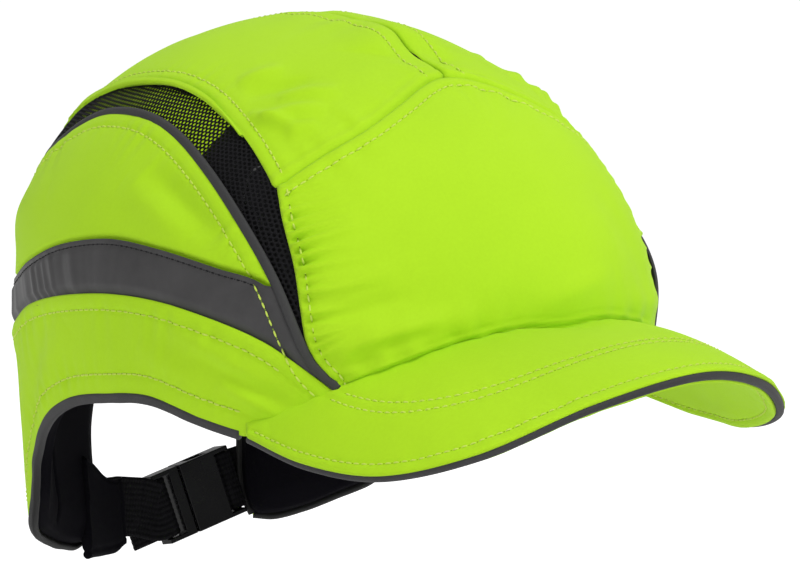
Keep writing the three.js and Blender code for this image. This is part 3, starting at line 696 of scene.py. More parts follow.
def reflective_strip(name, side):
    """The strip lies over the upper panel, and its lower edge goes under the lower one."""
    tip = part_of(PIPING, STRIP_TOE, STRIP_TIP, 60, by_height=True)
    tip = tip[azimuth_of(tip) > -60][::-1]
    start = unit(even(tip, 26))
    top = unit(even(np.vstack([start[:1], part_of(STRIP_UPPER, -181, -50.5, 200)]), 230))
    foot = shifted(unit(even(np.vstack([start[-1:], part_of(STRIP_LOWER, -181, -42, 200)]),
                             230)), 1.6)
    foot[0] = start[-1]
    end = between(top[-1:], foot[-1:], 26)[:, 0]
    grid = patch(top, foot, start, end)
    base = on_dome(grid)
    gap, along = nearest(base, on_dome(STRIP_UPPER))
    chance = np.random.default_rng(61 + side)
    wrinkles = np.zeros(base.shape[:2])
    lean = gap * 0.12
    for _ in range(30):
        place, width = chance.uniform(55, 215), chance.uniform(0.7, 2.6)
        height = chance.uniform(-0.2, 0.5) * smooth(45, 125, along)
        wrinkles += height * bell(along + lean - place, width) * smooth(1.2, 4, gap)
    hems = [hem(STRIP_UPPER, 33, hem=ROW["strip_top"], pucker=0.1, reach=3, roll=0.1),
            hem(PIPING, 35, hem=6.0, pucker=0.1, reach=4, roll=1.1),
            REAR_HEM]
    drops = [(on_dome(STRIP_LOWER), 3.0, -1.0)]
    return cloth_panel(name, grid, hems, 37, side, lift=0.25, material="reflective", edges=drops,
                       soft=0.1, extra=wrinkles)


def lower_side_panel(name, side):
    """Its columns lean over the lobe: the places on its top edge are evened out."""
    foot = unit(even(OPEN_EDGE, 300))
    azimuth = azimuth_round(foot)
    spread = 26
    padded = np.concatenate([np.linspace(azimuth[0] + 2, azimuth[0], spread), azimuth,
                             np.linspace(azimuth[-1], azimuth[-1] - 8, spread)])
    kernel = np.hanning(2 * spread + 1)
    smoothed = np.convolve(padded, kernel / kernel.sum(), "valid")
    smoothed = np.minimum.accumulate(smoothed - np.arange(300) * 0.004)
    smoothed = (smoothed - smoothed[0]) / (smoothed[-1] - smoothed[0]) * (-180 + 38.6) - 38.6
    line_azimuth = azimuth_round(STRIP_LOWER)
    order = np.argsort(line_azimuth)
    top = np.stack([np.interp(smoothed, line_azimuth[order], STRIP_LOWER[order, k])
                    for k in range(3)], 1)
    grid = between(unit(top), foot, 56)
    hems = [hem(STRIP_LOWER, 39, hem=ROW["strip_foot"], pucker=0.24, reach=8, roll=0.3),
            hem(EAR_EDGE, 41, hem=ROW["ear"], pucker=0.34, reach=4, roll=0.35, short=4, long=9),
            hem(REAR_EDGE, 43, hem=7.0, pucker=0.2, reach=5, roll=0.35),
            REAR_HEM]
    folds = [((-72, -2.5), (-50, -12), 4.0, 0.6), ((-66, -7), (-46, -15), 3.0, -0.6),
             ((-60, -12), (-46, -17), 2.4, 0.6), ((-80, -8), (-64, -13), 4, 0.4),
             ((-104, -6), (-118, -22), 6, 0.5), ((-112, -6), (-126, -30), 5, -0.5)]
    return cloth_panel(name, grid, hems, 47, side, folds=folds, lift=0.25)


# ---- Vents, piping and bindings --------------------------------------------------------
NET = {"pitch": 1.95, "hole": (0.79, 0.66), "hole_turn": 58, "hole_sizes": (0.9, 1.08),
       "wobble": 0.03, "weld": 0.15, "depths": (1.05, 1.25), "margins": (1.6, 0.6)}
LINING = {"depths": (1.36, 1.8), "top_band": 2.2, "ends": (-66.5, -72.5), "rear": -150}
PIPING_HALF, BINDING = (1.5, 0.9), (3.4, 2.4, 0.8)      # half sizes; width, height, radius
VENT_HUB = ray(-95.0, 8.0)


def chart_axes():
    level = unit(np.cross((0, 0, 1), VENT_HUB))
    return level, np.cross(VENT_HUB, level)


def to_chart(d, scale=100.0):
    level, up = chart_axes()
    spread = np.arccos(np.clip(d @ VENT_HUB, -1, 1))
    flat = np.stack([d @ level, d @ up], -1)
    return flat / np.maximum(np.linalg.norm(flat, axis=-1, keepdims=True), 1e-9) \
        * (spread * scale)[..., None]


def from_chart(places, scale=100.0):
    level, up = chart_axes()
    spread = np.linalg.norm(places, axis=-1, keepdims=True) / scale
    way = unit(places)
    return (VENT_HUB * np.cos(spread)
            + (way[..., :1] * level + way[..., 1:] * up) * np.sin(spread))


def in_outline(places, outline):
    """Even-odd test of flat places against a closed outline."""
    x, y = places[:, 0], places[:, 1]
    inside = np.zeros(len(places), bool)
    for (ax, ay), (bx, by) in zip(outline, np.roll(outline, -1, axis=0)):
        crosses = (ay > y) != (by > y)
        if ay != by:
            inside ^= crosses & (x < (bx - ax) * (y - ay) / (by - ay) + ax)
    return inside


def vent_outline(upper_margin, lower_margin):
    upper = shifted(VENT_UPPER, -upper_margin)
    lower = shifted(PIPING, lower_margin)[azimuth_round(PIPING) > -153]
    return to_chart(np.vstack([upper, lower[::-1]]))


def rear_end(d):
    """How far a direction lies into the rear end of the vent, from 0 to 1."""
    return smooth(116, 136, np.abs(azimuth_of(d)))


def vent_mesh(name, side):
    """An open knitted net: staggered rows of round holes with thread all round them."""
    outline = vent_outline(*NET["margins"])
    low, high = outline.min(0), outline.max(0)
    pitch = NET["pitch"]
    row = pitch * math.sqrt(3) / 2
    centres = []
    for j in range(int((high[1] - low[1]) / row) + 2):
        for i in range(int((high[0] - low[0]) / pitch) + 2):
            centres.append((low[0] + (i + 0.5 * (j % 2)) * pitch, low[1] + j * row))
    centres = np.array(centres)
    centres = centres[in_outline(centres, outline)]
    turn = np.radians(np.arange(6) * 60 + 30)
    cell = np.stack([np.cos(turn), np.sin(turn)], 1) * pitch / math.sqrt(3)
    hole = circle(1) * NET["hole"]
    chance = np.random.default_rng(71)
    lookup, flat, faces = {}, [], []

    def corner(place):
        key = (round(place[0] / 0.2), round(place[1] / 0.2))
        for near in [(key[0] + a, key[1] + b) for a in (0, -1, 1) for b in (0, -1, 1)]:
            if near in lookup and np.hypot(*(flat[lookup[near]] - place)) < NET["weld"]:
                return lookup[near]
        lookup[key] = len(flat)
        flat.append(place)
        return lookup[key]

    bend = math.radians(NET["hole_turn"])
    lean = np.array([[math.cos(bend), -math.sin(bend)], [math.sin(bend), math.cos(bend)]])
    for centre in centres:
        rim = [corner(centre + c) for c in cell]
        first = len(flat)
        wobble = chance.normal(0, NET["wobble"], 2)
        size = chance.uniform(*NET["hole_sizes"])
        flat.extend(centre + wobble + (hole * size) @ lean)
        for k in range(6):
            a, b = rim[k], rim[(k + 1) % 6]
            h = [first + (2 * k + m + 1) % 12 for m in range(3)]
            faces += [(a, h[1], h[0]), (a, b, h[1]), (b, h[2], h[1])]
    flat = np.array(flat)
    d = from_chart(flat)
    crown = np.zeros((len(flat), 1))
    crown[list(lookup.values())] = 0.1      # thread stands up between the holes
    outer, inner = (on_dome(d, depth - rear_end(d)) for depth in NET["depths"])
    outer = outer + d * crown
    count = len(flat)
    edges = {}
    for face in faces:
        for a, b in zip(face, face[1:] + face[:1]):
            edges[(a, b)] = edges.get((a, b), 0) + 1
    walls = [(a, b, b + count, a + count) for a, b in edges if (b, a) not in edges]
    back = [tuple(v + count for v in face[::-1]) for face in faces]
    points = np.vstack([outer, inner]) * (side, 1, 1)
    piece = make_object(name, points, faces + back + [w[::-1] for w in walls], look["mesh"])
    tidy_normals(piece)
    return finish_piece(piece, "cap", "vent_mesh", name)


def vent_lining(name, side):
    """The yellow facing that shows through the upper part of the net; it glows, painted light that
    brightens it where the net's threads shade it.
    """
    outline_upper = part_of(shifted(VENT_UPPER, -0.2), LINING["rear"], LINING["ends"][0], 90)
    outline_lower = part_of(shifted(PIPING, 1), LINING["rear"], LINING["ends"][1], 90)
    top_band = LINING["top_band"] * smooth(-80, -92, azimuth_of(outline_upper))
    outline_upper = unit(outline_upper + unit(outline_lower - outline_upper)
                         * (top_band / dome_radius(outline_upper))[:, None])
    grid = between(outline_upper, outline_lower, 22)
    outer, inner = (on_dome(grid, depth) * (side, 1, 1) for depth in LINING["depths"])
    piece = sheet(name, outer, inner, look["lining"])
    return finish_piece(piece, "cap", "hi_vis_fabric")


def square_to(line, up):
    """Directions across a line and up from it, square to the line and to each other."""
    forward = unit(np.gradient(line, axis=0))
    up = unit(up - np.sum(up * forward, 1, keepdims=True) * forward)
    return np.cross(forward, up), up


def along_dome(curve, depth=0.0):
    """Points on a curve with the directions across it and outwards."""
    line = on_dome(curve, depth)
    return line, *square_to(line, unit(on_dome(curve)))


def mirror_piece(piece, side):
    """Turn a finished right-hand piece into the left-hand one where that is wanted."""
    if side == LEFT:
        piece.data.transform(((-1, 0, 0, 0), (0, 1, 0, 0), (0, 0, 1, 0), (0, 0, 0, 1)))
        piece.data.flip_normals()


def vent_piping(name, side):
    azimuth = azimuth_round(PIPING)
    curve = unit(even(PIPING[(azimuth < -38.2) & (azimuth > -179.8)], 330))
    line, across, up = along_dome(curve, 0.2 + 0.5 * rear_end(curve))
    line = line + up * flare(line, side)[:, None]
    section = circle(1, 18) * PIPING_HALF
    section[:, 0] *= np.where(section[:, 1] < 0, 0.72, 1.0)      # narrower below the surface
    piece = sweep(name, line, across, up, section, look["grey"])
    mirror_piece(piece, side)
    return finish_piece(piece, "cap", "grey_piping", name)


def binding(name, curve, side=RIGHT, seed=0):
    """Tape folded over a raw edge and stitched through."""
    line, across, up = along_dome(curve, 0.7)
    line = line + up * (0.12 * ripple(lengths(line), 80 + seed, 6, 14))[:, None]
    piece = sweep(name, line, across, up, rounded(*BINDING), look["binding"])
    mirror_piece(piece, side)
    return finish_piece(piece, "cap", "grey_piping", name)


# ---- Shell, pads and bands -------------------------------------------------------------
SHELL_DEPTH, PAD_DEPTH = (2.5, 4.5), 4.9
SIDE_SLOTS = [(-55, 22), (-75, 35), (-95, 40), (-115, 38)]
CROWN_SLOTS = [(-30, 56), (-85, 66), (-145, 56)]
SLOT_WIDTH, SLOT_LENGTH = 7, 22


def whole_seam(places, count):
    """A closed edge all round the cap from the places of its right half."""
    half = seam(places, count // 2 + 1)
    return np.vstack([half, (half * (-1, 1, 1))[::-1][1:-1]])


def hard_shell():
    """A smooth moulded bowl with round-ended vent slots and a rolled rim."""
    wide, rings = 180, 45
    rim, up = whole_seam(SHELL_EDGE, wide), np.array([0.0, 0.0, 1.0])
    t = np.linspace(0, 1, rings + 1)[:-1, None, None]
    d = unit(rim * (1 - t) + up * t)
    thin = np.where(np.arange(rings) == 0, 0.35, 0.0)[:, None]
    near, far = SHELL_DEPTH
    points = np.vstack([on_dome(d, near + thin).reshape(-1, 3), on_dome(up[None], near),
                        on_dome(d, far - thin).reshape(-1, 3), on_dome(up[None], far)])
    inside, last = rings * wide + 1, (rings - 1) * wide
    faces = []
    for j in range(wide):
        k = (j + 1) % wide
        for a, b in zip(range(j, last, wide), range(k, last + k, wide)):
            faces.append((a, b, b + wide, a + wide))
            faces.append((inside + a, inside + a + wide, inside + b + wide, inside + b))
        faces.append((last + j, last + k, inside - 1))
        faces.append((inside + last + j, 2 * inside - 1, inside + last + k))
        faces.append((j, inside + j, inside + k, k))
    shell = make_object("hard_shell_smooth", points, faces, look["shell"])
    tidy_normals(shell)
    places = SIDE_SLOTS + CROWN_SLOTS
    cutters = [slot_cutter(place) for place in places + mirrored(places)]
    for cutter in cutters:
        cut = shell.modifiers.new(cutter.name, "BOOLEAN")
        cut.object = cutter
        cut.operation = "DIFFERENCE"
        cut.solver = "EXACT"
    apply_modifiers(shell)
    for cutter in cutters:
        bpy.data.meshes.remove(cutter.data)
    return finish_piece(shell, "cap", "shell_plastic", "hard_shell")


def apply_modifiers(piece):
    bpy.context.view_layer.update()
    evaluated = piece.evaluated_get(bpy.context.evaluated_depsgraph_get())
    mesh = bpy.data.meshes.new_from_object(evaluated)
    piece.modifiers.clear()
    old, piece.data = piece.data, mesh
    bpy.data.meshes.remove(old)


def slot_cutter(place):
    centre = ray(*map(float, place))
    middle = on_dome(centre[None], 3.5)[0]
    upward = unit(np.array([0, 0, 1.0]) - centre * centre[2])
    sideways = np.cross(centre, upward)
    outline = rounded(SLOT_WIDTH, SLOT_LENGTH, SLOT_WIDTH / 2 - 0.01, 9)
    rings = [middle + centre * depth + outline[:, :1] * sideways + outline[:, 1:] * upward
             for depth in (-7, 7)]
    cutter = make_object("slot_cutter", np.vstack(rings), tube_faces(2, len(outline)),
                         look["shell"], smooth_faces=False)
    tidy_normals(cutter)
    return cutter


def cushion(name, grid, depth, thick, material, slot, node, channels=(), seed=0,
            side=RIGHT, puff=5.0, floor=0.35):
    """A pad on the inside of the cap: flat outside, crowned inside, with sewn channels."""
    rows, columns = grid.shape[:2]
    outer = on_dome(grid, depth)
    across = np.minimum(*edge_distances(outer, 1))
    down = np.minimum(*edge_distances(outer, 0))
    inset = np.minimum(across, down)
    rise = np.sqrt(np.clip(1 - (1 - np.clip(inset / puff, 0, 1)) ** 2, 0, 1))
    swell = floor + (1 - floor) * rise
    height = thick * swell
    for line, width, deep in channels:
        gap, along = nearest(outer, line)
        height = height * (1 - deep * bell(gap, width)) + 0.12 * bell(gap, 4) * ripple(along, seed)
    height += lumps(outer, seed, 22, 0.16) * rise
    height = np.clip(height, 0.3, thick)
    inner = outer - grid_normals(outer) * height[..., None]
    edge = 0.3 * thick * (1 - rise)
    outer = outer - grid_normals(outer) * edge[..., None] * 0.5
    piece = sheet(name, outer * (side, 1, 1), inner * (side, 1, 1), look[material])
    finish_piece(piece, "cap", slot, node)
    return piece


def edge_distances(points, axis):
    """Millimetres from each grid point to the two ends of its row or column."""
    step = np.linalg.norm(np.diff(points, axis=axis), axis=2)
    zero = np.zeros_like(np.take(step, [0], axis))
    travelled = np.concatenate([zero, np.cumsum(step, axis)], axis)
    total = np.take(travelled, [-1], axis)
    return travelled, total - travelled


def pad_grid(top, foot, columns, rows, round_corners=9.0):
    """A patch with its four corners rounded."""
    grid = between(seam(top, columns), seam(foot, columns), rows)
    points = on_dome(grid)
    left, right = edge_distances(points, 1)
    above, under = edge_distances(points, 0)
    middle = grid[rows // 2, columns // 2]
    s, t = np.minimum(left, right), np.minimum(above, under)
    pull = np.clip(1 - s / round_corners, 0, 1) * np.clip(1 - t / round_corners, 0, 1)
    return unit(grid + (middle - grid) * (pull * 0.10)[..., None])


def line_between(start, end):
    return on_dome(unit(np.linspace(ray(*map(float, start)), ray(*map(float, end)), 40)),
                   PAD_DEPTH)


def foam_pad(name, node, grid, channels, seed, side=RIGHT):
    cushion(name, grid, PAD_DEPTH, 4.4, "foam", "foam", node,
            [(line, 1.1, 0.6) for line in channels], seed, side)


def pads():
    for name, corners, height, azimuths, size, seed in (
            ("front", (-42, 0, 42), (42, 47, 15, 16), (-14, 14), (110, 50), 91),
            ("rear", (-215, -180, -145), (42, 46, 2, 2), (-169, -191), (110, 66), 93)):
        high, peak, low, middle = height
        grid = pad_grid(list(zip(corners, (high, peak, high))),
                        list(zip(corners, (low, middle, low))), *size)
        lines = [line_between((at, peak - 1), (at, min(low, middle))) for at in azimuths]
        foam_pad(f"{name}_foam_pad", f"{name}_pad", grid, lines, seed)
    for side_name, side in SIDES.items():
        grid = pad_grid([(-124, 22), (-90, 24), (-54, 22)], [(-124, 6), (-90, 5), (-54, 6)],
                        110, 30)
        lines = [line_between((at, 24), (at, 5)) for at in (-100, -78)]
        foam_pad(f"side_foam_pad_{side_name}", f"side_pad_{side_name}", grid, lines, 95 + side,
                 side)
    crown = over_top(68, 116, 60)
    lines = [on_dome(shifted(crown, at), PAD_DEPTH) for at in (9, -9)]
    foam_pad("crown_foam_pad", "crown_pad", between(shifted(crown, 26), shifted(crown, -26), 46),
             lines, 97)


def sweatband():
    top, foot = seam(both_sides(BAND_TOP), 260), seam(both_sides(BAND_FOOT), 260)
    grid = between(top, foot, 26)
    ribs = [(on_dome(between(top, foot, 9)[row], PAD_DEPTH), 0.8, 0.45) for row in (2, 6)]
    cushion("padded_sweatband", grid, PAD_DEPTH, 3.0, "black", "black_fabric", "sweatband",
            ribs, 99, puff=2.6)


def crown_tape():
    middle = over_top(52, 190, 150)
    grid = between(shifted(middle, 7), shifted(middle, -7), 12)
    piece = sheet("crown_tape", on_dome(grid, 1.6), on_dome(grid, 2.1), look["black"])
    return finish_piece(piece, "cap", "black_fabric", "crown_seam_tape")


def nape_pad(name, side):
    """The padded black lining of one lobe."""
    azimuth = azimuth_round(OPEN_EDGE)
    low = elevation_of(OPEN_EDGE) < -23.2
    inside_edge = OPEN_EDGE[low & (azimuth < -105) & (azimuth > -164)]
    foot = unit(even(inside_edge, 150))
    centre = unit(foot.mean(0))
    points = on_dome(foot)
    to_middle = unit(on_dome(centre[None]) - points)
    foot = unit(points + to_middle * 0.1)
    start, end = azimuth_round(foot[0]), azimuth_round(foot[-1])
    top = seam([(start, -19.6), ((start + end) / 2, -18.6), (end, -19.6)], 150)
    grid = between(top, foot, 56)
    upright = on_dome(unit(np.linspace(ray(-136.0, -18.0), ray(-139.0, -46.0), 30)), 3.4)
    hem_line = on_dome(unit(foot + (centre - foot) * 0.10), 3.4)
    from_rim, _ = nearest(on_dome(grid), on_dome(foot))
    depth = 1.35 + 2.05 * smooth(0.5, 8, from_rim)
    return cushion(name, grid, depth, 4.6, "black", "black_fabric",
                   name.replace("lobe_lining", "nape_pad"),
                   [(upright, 0.9, 0.4), (hem_line, 0.9, 0.4)], 103 + side, side, puff=4.0,
                   floor=0.22)


# ---- Peak ----------------------------------------------------------------------------
PEAK = {"cover": 0.9, "board": 1.6, "gap": 0.65, "bulge": 3.5, "piping": 1.45, "seat": 1.3}
PEAK_BOARD = (PEAK["cover"] + PEAK["gap"], PEAK["cover"] + PEAK["gap"] + PEAK["board"])
PEAK_UNDER = (PEAK_BOARD[1] + PEAK["gap"], PEAK_BOARD[1] + PEAK["gap"] + PEAK["cover"])
PEAK_BASE = spline(on_dome(ray(*np.array(both_sides(PEAK_SEAM), float).T), -PEAK["seat"]), 401)
PEAK_RIM = spline(both_sides(PEAK_EDGE), 401)


def peak_line(u, line):
    at = np.linspace(0, 1, len(line))
    return np.stack([np.interp(u, at, line[:, k]) for k in range(3)], -1)


def peak_top(u, v):
    base, rim = peak_line(u, PEAK_BASE), peak_line(u, PEAK_RIM)
    point = base + (rim - base) * v[..., None]
    point[..., 2] += PEAK["bulge"] * 4 * v * (1 - v) * np.sin(np.pi * u)
    return point


def peak_width(u):
    return np.linalg.norm(peak_line(u, PEAK_BASE) - peak_line(u, PEAK_RIM), axis=-1)


def peak_normal(u, v):
    step = 0.004
    across = peak_top(np.minimum(u + step, 1), v) - peak_top(np.maximum(u - step, 0), v)
    out = peak_top(u, np.minimum(v + step, 1)) - peak_top(u, np.maximum(v - step, 0))
    normal = unit(np.cross(across, out))
    return normal * np.where(normal[..., 2:] > 0, 1, -1)


def peak_grid(seam_inset, edge_inset, corner_inset, columns=210, rows=64):
    u = np.linspace(corner_inset, 1 - corner_inset, columns)[None] + np.zeros((rows, 1))
    width = peak_width(u)
    start, end = seam_inset / width, 1 - edge_inset / width
    v = start + (end - start) * np.linspace(0, 1, rows)[:, None]
    return u, v


STITCH_ARCS = [(33.2, 0.347), (36.3, 0.369)]     # reach from the seam, half spread in u
EDGE_ROW = 4.0                                   # and the row inside the peak's edge


def arc_line(reach, spread, count=260):
    """One row of stitches: it leaves the seam by each corner and bows across the peak."""
    u = 0.5 + spread * np.linspace(-1, 1, count)
    depth = reach * (1 - np.abs((u - 0.5) / spread) ** 3.3)
    return u, depth / peak_width(u)


def peak_relief(u, v, seed, edge_depth):
    """Rounded edges, sewn grooves, and puckers that fan out from the seam and the edge."""
    width = peak_width(u)
    from_seam, from_edge = v * width, (1 - v) * width
    place = u * 260
    surface = peak_top(u, v)
    relief = lumps(surface, seed, 30, 0.16)
    for arc in STITCH_ARCS:
        gap, along = nearest(surface, peak_top(*arc_line(*arc, 90)))
        relief -= 0.3 * bell(gap, 0.9)
        relief += 0.14 * np.exp(-gap / 5) * ripple(along, seed + 2, 5, 13)
    relief -= 0.3 * bell(from_edge - EDGE_ROW, 0.8)
    relief += 0.2 * bell(from_edge - EDGE_ROW * 0.5, 1.4)
    inside = np.clip(from_edge / 2.4, 0, 1)
    relief -= edge_depth * (1 - np.sqrt(np.clip(1 - (1 - inside) ** 2, 0, 1)))
    relief += 0.24 * np.exp(-np.abs(from_edge - EDGE_ROW) / 5) * ripple(place, seed + 1, 5, 13)
    relief += 0.2 * np.exp(-from_seam / 8) * ripple(place, seed + 3, 7, 18)
    return relief


def peak_layer(name, node, slot, material, places, outer, inner):
    """A sheet between two depths below the peak's upper face."""
    surface, normal = peak_top(*places), peak_normal(*places)
    faces = [surface - normal * (depth + 0 * places[0])[..., None] for depth in (outer, inner)]
    return finish_piece(sheet(name, *faces, look[material]), "cap", slot, node)


def peak_covers():
    top, under = peak_grid(-2.2, 0.3, 0.008), peak_grid(-1.2, 1.0, 0.012)
    return {
        "peak_top": peak_layer("peak_top_cloth", "peak_top_cover", "hi_vis_fabric", "yellow",
                               top, -peak_relief(*top, 111, 0.7), PEAK["cover"]),
        "peak_under": peak_layer("peak_under_cloth", "peak_under_cover", "hi_vis_fabric",
                                 "yellow", under,
                                 PEAK_UNDER[1] + peak_relief(*under, 121, 0.4) + 0.1,
                                 PEAK_UNDER[0]),
    }


def peak_piping():
    u = np.linspace(0.006, 0.994, 300)
    v = 1 - 0.8 / peak_width(u)
    normal = peak_normal(u, v)
    line = peak_top(u, v) - normal * (PEAK_UNDER[1] / 2)
    forward = unit(np.gradient(line, axis=0))
    across = np.cross(forward, normal)
    piece = sweep("peak_edge_piping", line, across, unit(np.cross(across, forward)),
                  circle(PEAK["piping"], 16), look["grey"])
    return finish_piece(piece, "cap", "grey_piping", "peak_piping")


# ---- Nape strap and buckle --------------------------------------------------------------
STRAP = {"width": 20, "thick": 1.3, "ribs": 11}
BUCKLE = {"centre": (14.5, 90.3, -85), "tilt": 13, "lean": 12}
SOCKET_END, PLUG_END, BAR_HALF = 16.5, -16.4, 1.2
TAIL = (-18.4, -28)
LOOP_HALF = BAR_HALF + 0.4 + STRAP["thick"] / 2


def turn_matrix(axis, degrees):
    c, s = math.cos(math.radians(degrees)), math.sin(math.radians(degrees))
    a, b = [(1, 2), (2, 0), (0, 1)][axis]
    matrix = np.eye(3)
    matrix[a, a] = matrix[b, b] = c
    matrix[a, b], matrix[b, a] = -s, s
    return matrix


BUCKLE_TURN = turn_matrix(1, -BUCKLE["tilt"]) @ turn_matrix(0, -BUCKLE["lean"])
BUCKLE_UP = BUCKLE_TURN @ (0, 0, 1)
UPRIGHT = unit(np.array([0, 0.08, 1.0]))


def in_buckle(x, y, z=0.0):
    return BUCKLE_TURN @ (x, y, z) + BUCKLE["centre"]


def strap_ribbon(name, places, count, smooth_by):
    """A flat strap through places, with ribs that run along it on both faces."""
    width, thick, ribs = STRAP["width"], STRAP["thick"], STRAP["ribs"]
    points = np.array([p for p, _ in places])
    ups = np.array([u for _, u in places])
    joined = even(np.hstack([points, ups * 0.001]), count * 4)
    kernel = np.hanning(2 * int(smooth_by / 0.35) + 3)
    kernel /= kernel.sum()
    reach = len(kernel) // 2
    line = np.vstack([2 * joined[:1] - joined[reach:0:-1], joined,
                      2 * joined[-1:] - joined[-2:-reach - 2:-1]])
    line = np.stack([np.convolve(line[:, k], kernel, "valid") for k in range(6)], 1)
    line[0], line[-1] = joined[0], joined[-1]
    line = line[np.linspace(0, len(line) - 1, count).astype(int)]
    out, up = square_to(line[:, :3], unit(line[:, 3:]))
    half = width / 2
    face = []
    steps = ribs * 6
    for i in range(steps + 1):
        place = -half + width * i / steps
        edge = min(1, (half - abs(place)) / 0.5)
        height = thick / 2 - 0.22 + 0.22 * abs(math.sin(math.pi * ribs * i / steps))
        face.append((height * (0.55 + 0.45 * edge), place))
    section = np.array(face + [(-a, b) for a, b in face[::-1]])
    return sweep(name, line[:, :3], out, up, section, look["elastic"])


TAB = {"half": 17.4, "slope": 10.5, "round": 2.2, "swell": 1.75, "sewn": 2.6, "length": 30}


def strap_tab():
    """A padded tab whose upper edge slopes down to its free end, sewn near its edges."""
    line = [(-45, 73.6, -80), (-38, 78.2, -80.5), (-31, 82.4, -81.5), (-24, 85.6, -82),
            (-18, 87.4, -82)]
    points = spline(line, 60)[7:]
    out, up = square_to(points, np.broadcast_to(UPRIGHT, points.shape))
    heights = np.linspace(-1, 1, 41)
    along = np.linspace(0, 1, len(points))
    rise = TAB["half"] - TAB["slope"] * smooth(-0.2, 0.9, along)
    drop = TAB["half"] - TAB["round"] * smooth(0.7, 1, along) ** 2
    middle = np.array([points + up * (s * (rise if s > 0 else drop))[:, None] for s in heights])
    inward = 1 - np.abs(heights)
    thin = np.minimum(1, inward / 0.14)[:, None] * np.minimum(1, (1 - along) / 0.1)
    swell = TAB["swell"] * (0.3 + 0.7 * np.sqrt(np.clip(1 - (1 - thin) ** 2, 0, 1)))
    stitched = (bell(inward * TAB["half"] - TAB["sewn"], 0.7)[:, None]
                + bell((1 - along) * TAB["length"] - TAB["sewn"], 0.7)[None])
    swell = swell * (1 - 0.35 * np.clip(stitched, 0, 1))
    swell = swell + 0.12 * np.sin(middle[..., 2] * 0.5 + middle[..., 0] * 0.7)
    front, back = (middle + out[None] * h[..., None] for h in (swell, -swell))
    piece = sheet("elastic_tab", front, back, look["black"])
    finish_piece(piece, "cap", "black_fabric", "strap_tab")
    return piece


def elastic():
    start = [(-31, 85.1, -84.2), (-24, 88.3, -84.6), (-18, 90.1, -85), (-9, 89.6, -86.4)]
    places = [(np.array(p, float), UPRIGHT) for p in start]
    for x, y in ((PLUG_END - 1, -LOOP_HALF), (-13, -1.9), (-10.2, 0), (-13, 1.9),
                 (PLUG_END - 1.6, LOOP_HALF)):
        places.append((in_buckle(x, y), BUCKLE_UP))
    piece = strap_ribbon("ribbed_elastic", places, 150, 1.0)
    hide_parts("strap_elastic")
    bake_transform(piece)
    return piece


def elastic_tail():
    places = [(in_buckle(x, LOOP_HALF), BUCKLE_UP) for x in np.linspace(*TAIL, 5)]
    piece = strap_ribbon("elastic_free_end", places, 30, 0.4)
    return finish_piece(piece, "tail", "elastic", "strap_tail")


def webbing():
    places = [(in_buckle(SOCKET_END + 1, -LOOP_HALF), BUCKLE_UP),
              (in_buckle(13.5, -1.9), BUCKLE_UP), (in_buckle(11.1, 0), BUCKLE_UP),
              (in_buckle(13.5, 1.9), BUCKLE_UP),
              (in_buckle(SOCKET_END + 0.6, LOOP_HALF), BUCKLE_UP),
              (in_buckle(19.4, -0.4), BUCKLE_UP), (in_buckle(27, -4.8), UPRIGHT)]
    piece = strap_ribbon("socket_webbing", places, 110, 0.6)
    return finish_piece(piece, "cap", "elastic", "strap_webbing")


def moulded(name, body, node, bevel=0.5):
    """A moulded buckle part: the CAD shape with its flat faces joined and its edges rounded."""
    mesh = bmesh.new()
    mesh.from_mesh(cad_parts[node].data)
    bmesh.ops.remove_doubles(mesh, verts=mesh.verts, dist=0.00002)
    bmesh.ops.dissolve_limit(mesh, angle_limit=math.radians(2), verts=mesh.verts,
                             edges=mesh.edges)
    sharp = [e for e in mesh.edges if len(e.link_faces) == 2
             and e.calc_face_angle(0) > math.radians(25)]
    bmesh.ops.bevel(mesh, geom=sharp, offset=bevel * MM, segments=3, profile=0.5,
                    affect="EDGES", clamp_overlap=True)
    bmesh.ops.recalc_face_normals(mesh, faces=mesh.faces)
    data = bpy.data.meshes.new(name)
    mesh.to_mesh(data)
    mesh.free()
    data.materials.clear()
    data.materials.append(look["plastic"])
    data.polygons.foreach_set("use_smooth", [True] * len(data.polygons))
    piece = add_object(name, data)
    piece.modifiers.new("flat faces", "WEIGHTED_NORMAL")
    return finish_piece(piece, body, "buckle_plastic", node)


# ---- Stitches ------------------------------------------------------------------------------
STITCH_REACH, STRAY = 14, 6      # where rays start above the cloth, and how far it may be


def surface_tree(pieces):
    """One tree of the outer faces of several pieces, in millimetres."""
    points, faces = [], []
    for piece in pieces:
        first = len(points)
        points += [v.co * (1 / MM) for v in piece.data.vertices]
        faces += [[first + v for v in f.vertices] for f in piece.data.polygons]
    return BVHTree.FromPolygons(points, faces)


def stitch_row(tree, line, away, pitch, thread, length_share):
    """Stitches along a line, each one found on the cloth by a ray from outside."""
    count = max(int(lengths(line)[-1] / pitch), 1)
    stations = even(np.hstack([line, away * 0.001]), count * 2 + 1)
    out = unit(stations[:, 3:])
    stations = stations[:, :3]
    made = []
    for i in range(count):
        ends = []
        for k in (2 * i, 2 * i + 1, 2 * i + 2):
            hit = tree.ray_cast(Vector(stations[k] + out[k] * STITCH_REACH), Vector(-out[k]))[0]
            if hit is None or np.linalg.norm(np.array(hit) - stations[k]) > STRAY:
                break
            ends.append((np.array(hit), out[k]))
        if len(ends) == 3:
            made.append((ends, thread, length_share))
    return made


SEWN, SEWN_ARCH = (2.8, 0.31, 0.76), (2.4, 0.34, 0.86)      # pitch, thread, share of length
SEWN_STRIP, SEWN_PEAK = (2.3, 0.2, 0.6), (2.7, 0.28, 0.72)
THREAD_RINGS = (0, 0.2, 0.5, 0.8, 1)                        # places along one stitch
# The hole rings shape the small nub whose dark colour paints each needle hole's shade.
HOLE_RINGS = ((0.05, 0.15), (0.01, 0.26), (-0.25, 0.25))    # heights and half widths
RING = np.radians(np.arange(0, 360, 60))


